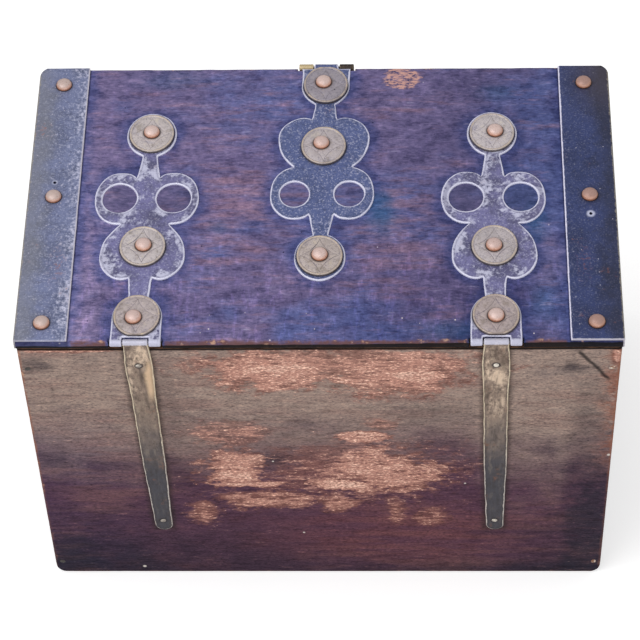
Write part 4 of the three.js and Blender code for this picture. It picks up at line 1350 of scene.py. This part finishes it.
class SHIPCHEST_OT_lid_board(PieceOperator, bpy.types.Operator):
    """The lid's thin board, notched for the knuckles"""

    bl_idname = "ship_chest.lid_board"
    bl_label = "Lid board"

    def execute(self, context):
        low, high = box("lid_board")
        outline = [(high.x, high.y)]
        for name in ("right", "left"):
            outline += self.notch(name, LEAF_BASE / 2, high.y, -RELIEF)
        outline.append((low.x, high.y))
        corner = (LID_CORNER, LID_CORNER)
        outline += list(arc((low.x + LID_CORNER, low.y + LID_CORNER), corner, math.pi, 1.5 * math.pi))
        outline += self.notch("hasp", HASP_HALF, low.y, RELIEF)[::-1]
        outline += list(arc((high.x - LID_CORNER, low.y + LID_CORNER), corner, 1.5 * math.pi, math.tau))
        board = Sheet([np.array(outline, float)], high.z - low.z, self.sizes.lid_rounding / MM, 1.0,
                      (5.0, 5.0), side_step=2.5, hem=2.0, rough=0.35, grain=12.0, seed=self.sizes.seed)
        dented(board, 0.12, 30.0, 2.0)
        inward = board.points[:, 2] < 0.4
        points = board.points + (0, 0, low.z)
        piece = solid("lacquered_lid_board", points, board.faces, lid_wood(), board.rim)
        mark(piece.data, "inside", inward)
        near = box("right_band")[0].x - np.abs(points[:, 0])
        for name in LEAVES:
            fitting = spaced(leaf_on_lid(name, leaf_loops(name)[0]), 6.0)
            near = np.minimum(near, gap_to(points[:, :2], [fitting]))
        mark(piece.data, "near", near)
        set_down(piece, "lid", "lid_wood", "lid_board")
        return {"FINISHED"}

    def notch(self, name, half, edge, relief):
        """The corners of a notch round a pin, from the lid's edge in and out again, from right to left."""
        x, y, _ = centre(f"{name}_pin")
        half += NOTCH_GAP
        return [(x + half, edge), (x + half, y + relief), (x - half, y + relief), (x - half, edge)]


class SHIPCHEST_OT_bands(PieceOperator, bpy.types.Operator):
    """The two iron bands folded over the lid's ends"""

    bl_idname = "ship_chest.bands"
    bl_label = "Bands"

    def execute(self, context):
        for name, side in zip(SIDES, (-1, 1)):
            node = f"{name}_band"
            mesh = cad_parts[node].data.copy()
            shape = bmesh.new()
            shape.from_mesh(mesh)
            self.shape_band(shape, side, *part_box(node))
            shape.to_mesh(mesh)
            shape.free()
            mesh.materials.clear()
            mesh.materials.append(band_iron(side))
            mesh.shade_smooth()
            mesh.set_sharp_from_angle(angle=SHEET_SHARP)
            mark_nails(mesh, [f"{name}_band_dome_{spot}" for spot in BAND_NAIL_SPOTS], 2)
            set_down(place(f"folded_{node}", mesh), "lid", "band_iron", node)
        return {"FINISHED"}

    def shape_band(self, shape, side, low, high):
        """Rounds the band's edges, cuts it finely, and waves its inner edge and its top."""
        bmesh.ops.remove_doubles(shape, verts=shape.verts, dist=1e-6)
        bmesh.ops.dissolve_limit(shape, angle_limit=math.radians(1), verts=shape.verts, edges=shape.edges)
        edges = [e for e in shape.edges if e.calc_length() > BAND_LEAST_EDGE * MM and len(e.link_faces) == 2
                 and e.calc_face_angle(0) > BAND_FOLD]
        bmesh.ops.bevel(shape, geom=edges, offset=BAND_BEVEL * MM, segments=3, profile=0.5, affect="EDGES",
                        clamp_overlap=True)
        step = BAND_STEP * MM
        cuts = [((0, y, 0), (0, 1, 0)) for y in np.arange(low.y + step, high.y, step)]
        cuts += [((x, 0, 0), (1, 0, 0)) for x in np.arange(low.x + step, high.x - step / 2, step)]
        for spot, normal in cuts:
            bmesh.ops.bisect_plane(shape, geom=shape.verts[:] + shape.edges[:] + shape.faces[:],
                                   plane_co=spot, plane_no=normal)
        inner = low.x if side > 0 else high.x
        for vertex in shape.verts:
            x, y, z = vertex.co
            if abs(x - inner) < 0.7 * MM:
                wave = noise.noise(Vector((y * 60, side, 0))) * 0.5
                wave += noise.noise(Vector((y * 240, side, 5))) * 0.25
                vertex.co.x += side * BAND_WAVE * MM * (wave + 0.5)
            if z > high.z - 0.1 * MM:
                dip = noise.noise(Vector((vertex.co.x * 45, y * 45, side)))
                vertex.co.z -= BAND_DENTS * MM * max(0.0, dip + 0.5)
        bmesh.ops.triangulate(shape, faces=shape.faces)


def leaf_loops(name):
    """Flat pattern of a leaf and its knuckles, the pin line at 0."""
    leaf = LEAVES[name]
    span = leaf["length"]
    across = LEAF_WIDTH / 2
    base = LEAF_BASE / 2
    turn = math.acos(SHOULDER_NECK * across / base)
    if name == "hasp":
        knuckle = HASP_LEAF_KNUCKLE / 2
        start = [(knuckle, LEAF_CURL), (knuckle, RELIEF), (base, RELIEF)]
    else:
        start = [(STRAP_RELIEF, RELIEF), (STRAP_RELIEF, LEAF_CURL), (base, LEAF_CURL)]
    last = (leaf["neck"][0] * across, leaf["neck"][1] * span)
    half = [start, arc((0, BASE_REACH), (base, SHOULDER_REACH), 0, turn), [last]]
    for curve in leaf["lobes"]:
        first, second, end = ((a * across, b * span) for a, b in curve)
        half.append(bezier(last, first, second, end))
        last = end
    half.append(arc((0, span - TIP_SETBACK), (TIP_HALF * across, TIP_SETBACK),
                    -math.acos(TIP_WAIST / TIP_HALF), math.pi / 2, 30))
    eyes = [arc((side * EYE_PLACE[0] * across, EYE_PLACE[1] * span), np.array(leaf["eye"]) / 2, 0, math.tau,
                48) for side in (-1, 1)]
    return [mirrored(np.concatenate([np.array(part, float) for part in half])), *eyes]


def leaf_on_lid(name, loop):
    """A leaf's flat outline where it lies on the lid, seen from above."""
    leaf = LEAVES[name]
    moved = loop * leaf["turn"]
    moved[:, 0] += leaf["lean"] * moved[:, 1]
    return moved + np.array(centre(f"{name}_pin"))[:2]


def roll_rows(width, curl):
    """Extra points where a sheet is rolled."""
    xs = np.arange(-width, width, ROLL_ACROSS)
    ys = np.arange(curl + ROLL_STEP / 2, RELIEF + 1, ROLL_STEP)
    return np.array([(x + (row % 2) * ROLL_ACROSS / 2, y) for row, y in enumerate(ys) for x in xs])


def ring_points(radius, turns):
    return np.column_stack([radius * np.cos(turns), radius * np.sin(turns)])


def knuckle_path(length_beyond):
    """From a knuckle's inner end round the pin to its top, then level for a length."""
    curve = ring_points(MID_RADIUS, math.pi / 2 - np.linspace(-KNUCKLE_TURN, 0, 81))
    level = np.linspace(0, length_beyond, 60)[1:]
    return np.concatenate([curve, np.column_stack([level, np.full(len(level), MID_RADIUS)])])


class SHIPCHEST_OT_leaves(PieceOperator, bpy.types.Operator):
    """The three cut-out leaves, rolled round their pins"""

    bl_idname = "ship_chest.leaves"
    bl_label = "Leaves"

    def execute(self, context):
        hinge_iron = leaf_iron("leaf_iron", "leaf_grey", knuckles=True)
        hasp_iron = leaf_iron("leaf_iron_blue", "leaf_blue", knuckles=False)
        for order, (name, leaf) in enumerate(LEAVES.items()):
            sheet = Sheet(leaf_loops(name), SHEET, self.sizes.sheet_bevel / MM, 0.0, (2.6, 2.6),
                          extra=roll_rows(LEAF_BASE / 2, LEAF_CURL), side_step=1.2, rough=0.45, grain=14.0,
                          seed=self.sizes.seed + order)
            dented(sheet, self.sizes.sheet_dents / MM, 9.0, order)
            flat = sheet.points
            flat[:, 0] += leaf["lean"] * np.maximum(flat[:, 1], 0)
            bent = follow(flat, knuckle_path(leaf["length"] + 2), SHEET, LEAF_CURL)
            bent[:, :2] *= leaf["turn"]
            piece = solid(f"cut_{name}_leaf", bent + np.array(centre(f"{name}_pin")), sheet.faces,
                          hasp_iron if name == "hasp" else hinge_iron, sheet.rim)
            mark_nails(piece.data, [f"{name}_roundel_{spot}" for spot in NAIL_SPOTS], 2)
            set_down(piece, "lid", "leaf_iron", f"{name}_leaf")
        return {"FINISHED"}


def hanging_path(length_below, eye=False):
    """From a knuckle's inner end over the pin, out and straight down, and on round a lock eye.

    Returns the path and where it starts, counted from the pin line.
    """
    turns = np.linspace(HANGING_CLOSE, HANGING_CLOSE - HANGING_TURN, 81) - math.pi / 2
    curve = ring_points(MID_RADIUS, turns)
    way = np.array([-math.cos(HANGING_CLOSE), -math.sin(HANGING_CLOSE)])
    joggle = bezier(curve[0], curve[0] + way * 1.2, (0, -3.4), (0, -JOGGLE_DEPTH), 16)
    down = np.linspace(-JOGGLE_DEPTH, -length_below, 80)[1:]
    parts = [curve, joggle, np.column_stack([np.zeros(len(down)), down])]
    if eye:
        wrap = np.linspace(math.pi, math.pi + EYE_TURN, 81)[1:]
        parts.append(ring_points(EYE_MID_RADIUS, wrap) + (EYE_MID_RADIUS, -length_below))
    before = np.diff(np.concatenate(parts[:2]), axis=0)
    return np.concatenate(parts), JOGGLE_DEPTH - np.sum(np.hypot(*before.T))


class SHIPCHEST_OT_straps(PieceOperator, bpy.types.Operator):
    """The two hinge straps down the back, rolled round their pins"""

    bl_idname = "ship_chest.straps"
    bl_label = "Straps"

    def execute(self, context):
        material = strap_iron()
        path, curl = hanging_path(STRAP_LENGTH + 2)
        half = STRAP_KNUCKLE / 2
        end = arc((0, STRAP_LENGTH - STRAP_END), (STRAP_END, STRAP_END), 0, math.pi / 2, 10)
        outline = mirrored(np.concatenate([[(half, curl)], smooth_line(STRAP_PROFILE), end[1:]]))
        for order, name in enumerate(SIDES):
            sheet = Sheet([outline], SHEET, self.sizes.sheet_bevel / MM, 0.0, (2.6, 3.4),
                          extra=roll_rows(half, curl), side_step=1.2, rough=0.4, grain=11.0,
                          seed=self.sizes.seed + 5 + order)
            dented(sheet, self.sizes.sheet_dents / MM, 9.0, 7 + order)
            bent = follow(sheet.points, path, SHEET, curl)
            bent[:, 0] += np.minimum(bent[:, 2], 0) * math.tan(STRAP_LEAN)
            piece = solid(f"rolled_{name}_strap", bent + np.array(centre(f"{name}_pin")),
                          [face[::-1] for face in sheet.faces], material, sheet.rim)
            mark_nails(piece.data, [f"{name}_strap_nail_high", f"{name}_strap_nail_low"], 1)
            set_down(piece, "chest", "strap_iron", f"{name}_strap")
        return {"FINISHED"}


class SHIPCHEST_OT_hasp(PieceOperator, bpy.types.Operator):
    """The hasp, rolled round its pin above and round the lock's way below"""

    bl_idname = "ship_chest.hasp"
    bl_label = "Hasp"

    def execute(self, context):
        path, curl = hanging_path(HASP_LENGTH, eye=True)
        edge, hollow_out, hollow_in, tongue = (share * HASP_LENGTH for share in HASP_SHOULDERS)
        half = np.concatenate([
            [(HASP_RELIEF, RELIEF), (HASP_RELIEF, curl), (HASP_HALF, curl), (HASP_HALF, edge)],
            bezier((HASP_HALF, edge), (HASP_HALF, hollow_out), (HASP_TONGUE, hollow_in),
                   (HASP_TONGUE, tongue)),
            [(HASP_TONGUE, HASP_LENGTH + EYE_TURN * EYE_MID_RADIUS)],
        ])
        eye_rows = np.array([(x, y) for y in np.arange(HASP_LENGTH - 1, HASP_LENGTH + 24, 0.6)
                             for x in np.arange(-8.4, 8.5, ROLL_ACROSS)])
        sheet = Sheet([mirrored(half)], SHEET, self.sizes.sheet_bevel / MM * 0.7, 0.0, (2.0, 2.0),
                      extra=np.concatenate([roll_rows(HASP_HALF, curl), eye_rows]), side_step=1.0, rough=0.3,
                      grain=11.0, seed=self.sizes.seed + 9)
        bent = follow(sheet.points, path, SHEET, curl) * (1, -1, 1)
        piece = solid("rolled_hasp", bent + np.array(centre("hasp_pin")), sheet.faces,
                      brass("hasp_brass", rolled=True), sheet.rim)
        set_down(piece, "hasp", "hasp_brass", "hasp")
        return {"FINISHED"}


def ring_faces(sides, count):
    """Faces between neighbouring rows of points, of which there are as many as sides, closed both ways."""
    return [(i * count + j, i * count + (j + 1) % count, (i + 1) % sides * count + (j + 1) % count,
             (i + 1) % sides * count + j) for i in range(sides) for j in range(count)]


def turned(profile, sides, axis):
    """Points and faces of a closed ring or a solid turned about the X or Y axis through the origin."""
    points = []
    for i in range(sides):
        turn = math.tau * i / sides
        for radius, along in profile:
            a, b = radius * math.cos(turn), radius * math.sin(turn)
            points.append((along, a, b) if axis == "x" else (b, along, a))
    return np.array(points), ring_faces(sides, len(profile))


def rod(radius, low, high, axis, sides=20, crown=0.35):
    """A rod along an axis with crowned ends, as one closed solid."""
    end = ((0.55, 0.0), (0.86, crown * 0.35), (1.0, crown))
    profile = [(radius * share, low + inset) for share, inset in end]
    profile += [(radius * share, high - inset) for share, inset in reversed(end)]
    points, faces = turned(profile, sides, axis)
    count = len(profile)
    faces = [face for i, face in enumerate(faces) if i % count != count - 1]
    faces.append(tuple(i * count for i in range(sides)))
    faces.append(tuple(i * count + count - 1 for i in reversed(range(sides))))
    return points, faces


def outwards(mesh):
    """Turns every face of a closed mesh to the outside."""
    shape = bmesh.new()
    shape.from_mesh(mesh)
    bmesh.ops.remove_doubles(shape, verts=shape.verts, dist=1e-7)
    bmesh.ops.recalc_face_normals(shape, faces=shape.faces)
    shape.to_mesh(mesh)
    shape.free()


class SHIPCHEST_OT_pins(PieceOperator, bpy.types.Operator):
    """The three pins in their knuckles"""

    bl_idname = "ship_chest.pins"
    bl_label = "Pins"

    def execute(self, context):
        iron = plain_metal("pin_iron", "#6f6a72", "#4a4648", "#b5b0ba")
        for name in LEAVES:
            low, high = box(f"{name}_pin")
            half = (high.x - low.x) / 2
            points, faces = rod((high.z - low.z) / 2, -half, half, "x")
            piece = solid(f"crowned_{name}_pin", points + np.array(centre(f"{name}_pin")), faces, iron)
            outwards(piece.data)
            set_down(piece, "lid", "nail_iron", f"{name}_pin")
        return {"FINISHED"}


class SHIPCHEST_OT_staples(PieceOperator, bpy.types.Operator):
    """The two eye staples that a lock's bolt passes"""

    bl_idname = "ship_chest.staples"
    bl_label = "Eye staples"

    def execute(self, context):
        material = brass("staple_brass")
        wall = (STAPLE_OUTER - STAPLE_BORE) / 2
        oval = [(STAPLE_BORE + wall + wall * eased(math.cos(turn)), STAPLE_HALF * eased(math.sin(turn)))
                for turn in np.linspace(0, math.tau, 17)[:-1]]
        ring, faces = turned(oval, 48, "x")
        for name in ("left_eye_staple", "right_eye_staple"):
            low, high = box(name)
            middle = ((low.x + high.x) / 2, low.y + STAPLE_OUTER, (low.z + high.z) / 2)
            shank, shank_faces = rod(STAPLE_SHANK, STAPLE_BORE + wall * 0.6, high.y - middle[1], "y")
            joined = faces + [tuple(i + len(ring) for i in face) for face in shank_faces]
            piece = solid(f"forged_{name}", np.concatenate([ring, shank]) + middle, joined, material)
            outwards(piece.data)
            set_down(piece, "chest", "hasp_brass", name)
        return {"FINISHED"}


def eased(share):
    """Bulges a circle's sine or cosine towards a square with round corners."""
    return math.copysign(abs(share) ** 0.6, share)


def star_radius(turn, reach, waist):
    """How far the star's curved side lies from the middle, in the direction of turn."""
    corner = waist / math.sqrt(2)
    away = (2 * corner * corner - reach * reach) / (4 * corner - 2 * reach)
    bow = math.sqrt(2) * (away - corner)
    spread = abs(math.cos(turn)) + abs(math.sin(turn))
    return away * spread - math.sqrt(max(away * away * spread * spread - 2 * away * away + bow * bow, 0))


def roundel_disc(sizes):
    """One engraved disc: a four-pointed star, a fine ring and a raised rim."""
    groove = sizes.star_groove / MM
    top = ROUNDEL_THICKNESS
    sides = 96
    rows = []
    for turn in np.arange(sides) * math.tau / sides:
        x, y = math.cos(turn), math.sin(turn)
        star = star_radius(turn, sizes.star_reach / MM, STAR_WAIST)
        star += 0.3 * noise.noise(Vector((2 * x, 2 * y, 4)))
        # radius, height, and how far it is engraved, rubbed, and darkened by grime and painted shade
        rings = [
            (2.0, top, 0, 0, 0), (5.0, top, 0, 0, 0), (6.9, top, 0, 0, 0), (star - 0.5, top, 0, 0, 0),
            (star - 0.25, top - groove * 0.3, 0.6, 0, 0), (star, top - groove, 1, 0, 0),
            (star + 0.25, top - groove * 0.3, 0.6, 0, 0), (star + 0.5, top, 0, 0, 0),
            ((star + 15.25) / 2 + 0.2, top, 0, 0, 0), (15.25, top, 0, 0, 0),
            (15.5, top - groove * 0.6, 0.8, 0, 0), (15.75, top + 0.05, 0.1, 0.2, 0),
            (16.3, top + ROUNDEL_RIM * 0.9, 0, 0.9, 0), (16.8, top + ROUNDEL_RIM, 0, 1, 0),
            (17.3, top + ROUNDEL_RIM * 0.5, 0, 0.7, 0), (17.5, top - 0.2, 0, 0.1, 0.8),
            (17.5, 0.0, 0, 0, 1), (2.0, 0.0, 0, 0, 1),
        ]
        rows += [(radius * x, radius * y * ROUNDEL_STRETCH, *rest) for radius, *rest in rings]
    data = np.array(rows)
    mesh = bpy.data.meshes.new("roundel_disc")
    mesh.from_pydata([tuple(p) for p in data[:, :3] * MM], [], ring_faces(sides, len(rings)))
    mesh.shade_smooth()
    for column, label in enumerate(("line", "rim", "dirt")):
        mark(mesh, label, data[:, 3 + column])
    return place("roundel_disc", mesh)


class SHIPCHEST_OT_roundels(PieceOperator, bpy.types.Operator):
    """The nine roundels under the leaves' nails"""

    bl_idname = "ship_chest.roundels"
    bl_label = "Roundels"

    def execute(self, context):
        disc = roundel_disc(self.sizes)
        nodes = leaf_nodes("roundel")
        half = ROUNDEL_RADIUS * ROUNDEL_STRETCH * MM
        spots = []
        for node in nodes:
            low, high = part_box(node)
            y = high.y - half if node.startswith("hasp") else low.y + half
            spots.append(((low.x + high.x) / 2, y, low.z))
        piece = grown("engraved_roundels", roundel_tree(), {
            "Disc": disc, "Front limit": centre("hasp_pin").y * MM + ROUNDEL_EDGE * MM,
            "Back limit": centre("right_pin").y * MM - ROUNDEL_EDGE * MM, "Material": roundel_alloy(),
        }, spots)
        bpy.data.objects.remove(disc)
        outwards(piece.data)
        piece.data.set_sharp_from_angle(angle=ROUND_SHARP)
        mark_nails(piece.data, leaf_nodes("dome"), 2)
        set_down(piece, "lid", "disc_alloy", *nodes)
        return {"FINISHED"}


def leaf_nodes(kind):
    """The CAD nodes of one kind that stand on the three leaves."""
    return [f"{name}_{kind}_{spot}" for name in LEAVES for spot in NAIL_SPOTS]


class SHIPCHEST_OT_domes(PieceOperator, bpy.types.Operator):
    """The fifteen copper domed nails"""

    bl_idname = "ship_chest.domes"
    bl_label = "Domed nails"

    def execute(self, context):
        nodes = leaf_nodes("dome")
        nodes += [f"{side}_band_dome_{spot}" for side in SIDES for spot in BAND_NAIL_SPOTS]
        spots = []
        for node in nodes:
            low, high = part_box(node)
            spots.append(((low.x + high.x) / 2, (low.y + high.y) / 2, high.z - self.sizes.dome_height))
        piece = grown("copper_domes", dome_tree(), {
            "Radius": self.sizes.dome_radius, "Height": self.sizes.dome_height,
            "Shank radius": DOME_SHANK["radius"] * MM, "Shank length": DOME_SHANK["length"] * MM,
            "Dents": self.sizes.dome_dents, "Seed": self.sizes.seed, "Material": dome_copper(),
        }, spots, {"aim": [(0, 0, 1)] * len(spots)})
        piece.data.set_sharp_from_angle(angle=ROUND_SHARP)
        set_down(piece, "lid", "copper", *nodes)
        return {"FINISHED"}


class SHIPCHEST_OT_small_nails(PieceOperator, bpy.types.Operator):
    """The small iron nails in the boards and straps"""

    bl_idname = "ship_chest.small_nails"
    bl_label = "Small nails"

    def execute(self, context):
        aims = {"back": Vector((0, 1, 0)), "front": Vector((0, -1, 0)), "left": Vector((-1, 0, 0)),
                "right": Vector((1, 0, 0))}
        board = [(f"{face}_nail_{row}_{side}", aims[face]) for face in ("back", "front")
                 for row in ("low", "high") for side in SIDES]
        board += [(f"bottom_nail_{side}_{row}", aims[side]) for side in SIDES for row in ("front", "back")]
        strap = [(f"{side}_strap_nail_{row}", aims["back"]) for side in SIDES for row in ("high", "low")]
        tree = small_nail_tree()
        iron = plain_metal("nail_iron", "iron", "#8a8078", "#fbf3e6", 0.85, 0.15, stained=True)
        for kind, nails, shank in (("board", board, BOARD_NAIL_SHANK), ("strap", strap, STRAP_NAIL_SHANK)):
            spots = []
            for node, aim in nails:
                low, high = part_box(node)
                middle = (low + high) / 2
                outer = [high[i] if aim[i] > 0 else low[i] if aim[i] < 0 else middle[i] for i in range(3)]
                spots.append(Vector(outer) - aim * self.sizes.head_height)
            piece = grown(f"hammered_{kind}_nails", tree, {
                "Radius": self.sizes.head_radius, "Height": self.sizes.head_height,
                "Shank radius": NAIL_SHANK_RADIUS * MM, "Shank length": shank * MM, "Dents": NAIL_DENTS * MM,
                "Seed": self.sizes.seed, "Material": iron,
            }, spots, {"aim": [aim for _, aim in nails]})
            piece.data.set_sharp_from_angle(angle=NAIL_SHARP)
            set_down(piece, "chest", "nail_iron", *(node for node, _ in nails))
        return {"FINISHED"}


class SHIPCHEST_OT_stage(PieceOperator, bpy.types.Operator):
    """Floor, soft lights and the camera at the photograph's angle"""

    bl_idname = "ship_chest.stage"
    bl_label = "Stage"

    def execute(self, context):
        scene = context.scene
        stage = scene.ship_chest_stage
        scene.view_settings.view_transform = "Standard"
        mesh = bpy.data.meshes.new("floor")
        square = [(x * FLOOR_HALF, y * FLOOR_HALF, 0) for x, y in ((-1, -1), (1, -1), (1, 1), (-1, 1))]
        mesh.from_pydata(square, [], [(0, 1, 2, 3)])
        mesh.materials.append(self.floor_paint(stage.floor))
        place("floor", mesh)
        scene.world = bpy.data.worlds.new("sky")
        scene.world.use_nodes = True
        graph = Graph(scene.world.node_tree)
        graph.tree.nodes.clear()
        seen = graph.node("ShaderNodeLightPath").outputs["Is Camera Ray"]
        light = graph.total(stage.sky, graph.product(seen, 1 - stage.sky))
        sky = graph.add("ShaderNodeBackground", {"Color": "#ffffff", "Strength": light})
        graph.node("ShaderNodeOutputWorld", {0: sky})
        self.lamp("key", (0.9, 0.5, 2.1), 1.9, stage.key)
        self.lamp("fill", (-0.6, 2.4, 1.0), 1.8, stage.fill)
        camera = bpy.data.cameras.new("camera")
        camera.sensor_width = CAMERA_SENSOR
        camera.lens = CAMERA_LENS
        scene.camera = place("camera", camera)
        turn = Matrix(CAMERA_WAYS).transposed()
        scene.camera.matrix_world = Matrix.Translation(CAMERA_PLACE) @ turn.to_4x4()
        return {"FINISHED"}

    def floor_paint(self, tint):
        """A pale floor that the camera sees as white but that keeps the object's shadow."""
        material = bpy.data.materials.new("floor_paint")
        material.use_nodes = True
        graph = Graph(material.node_tree)
        graph.tree.nodes.clear()
        seen = graph.node("ShaderNodeLightPath").outputs["Is Camera Ray"]
        diffuse = graph.add("ShaderNodeBsdfDiffuse", {"Color": tint})
        glow = graph.product(seen, FLOOR_GLOW)
        glow = graph.add("ShaderNodeEmission", {"Color": "#ffffff", "Strength": glow})
        graph.node("ShaderNodeOutputMaterial", {0: graph.add("ShaderNodeAddShader", {0: diffuse, 1: glow})})
        return material

    def lamp(self, name, spot, size, power):
        """A round lamp that points at the chest's middle."""
        light = bpy.data.lights.new(name, "AREA")
        light.shape = "DISK"
        light.size = size
        light.energy = power
        holder = place(name, light)
        holder.location = spot
        way = Vector(LAMP_TARGET) - Vector(spot)
        holder.rotation_euler = way.to_track_quat("-Z", "Y").to_euler()


OPERATORS = (
    SHIPCHEST_OT_stage, SHIPCHEST_OT_boards, SHIPCHEST_OT_lid_board, SHIPCHEST_OT_bands, SHIPCHEST_OT_leaves,
    SHIPCHEST_OT_straps, SHIPCHEST_OT_hasp, SHIPCHEST_OT_pins, SHIPCHEST_OT_staples, SHIPCHEST_OT_roundels,
    SHIPCHEST_OT_domes, SHIPCHEST_OT_small_nails,
)


class SHIPCHEST_PT_panel(bpy.types.Panel):
    """Sizes, colours and the pieces in building order"""

    bl_idname = "SHIPCHEST_PT_panel"
    bl_label = "Ship Chest"
    bl_space_type = "VIEW_3D"
    bl_region_type = "UI"
    bl_category = "Ship Chest"

    def draw(self, context):
        for label in GROUPS:
            group = getattr(context.scene, label)
            column = self.layout.column(align=True)
            for name in group.__annotations__:
                column.prop(group, name)
        for operator in OPERATORS:
            self.layout.operator(operator.bl_idname)


GROUPS = {"ship_chest_sizes": ShipChestSizes, "ship_chest_colours": ShipChestColours,
          "ship_chest_stage": ShipChestStage}
CLASSES = (*GROUPS.values(), *OPERATORS, SHIPCHEST_PT_panel)


def register():
    for cls in CLASSES:
        bpy.utils.register_class(cls)
    for label, group in GROUPS.items():
        setattr(bpy.types.Scene, label, PointerProperty(type=group))


def unregister():
    for label in GROUPS:
        delattr(bpy.types.Scene, label)
    for cls in reversed(CLASSES):
        bpy.utils.unregister_class(cls)


def main():
    register()
    for operator in OPERATORS:
        group, name = operator.bl_idname.split(".")
        getattr(getattr(bpy.ops, group), name)()


if __name__ == "__main__":
    main()
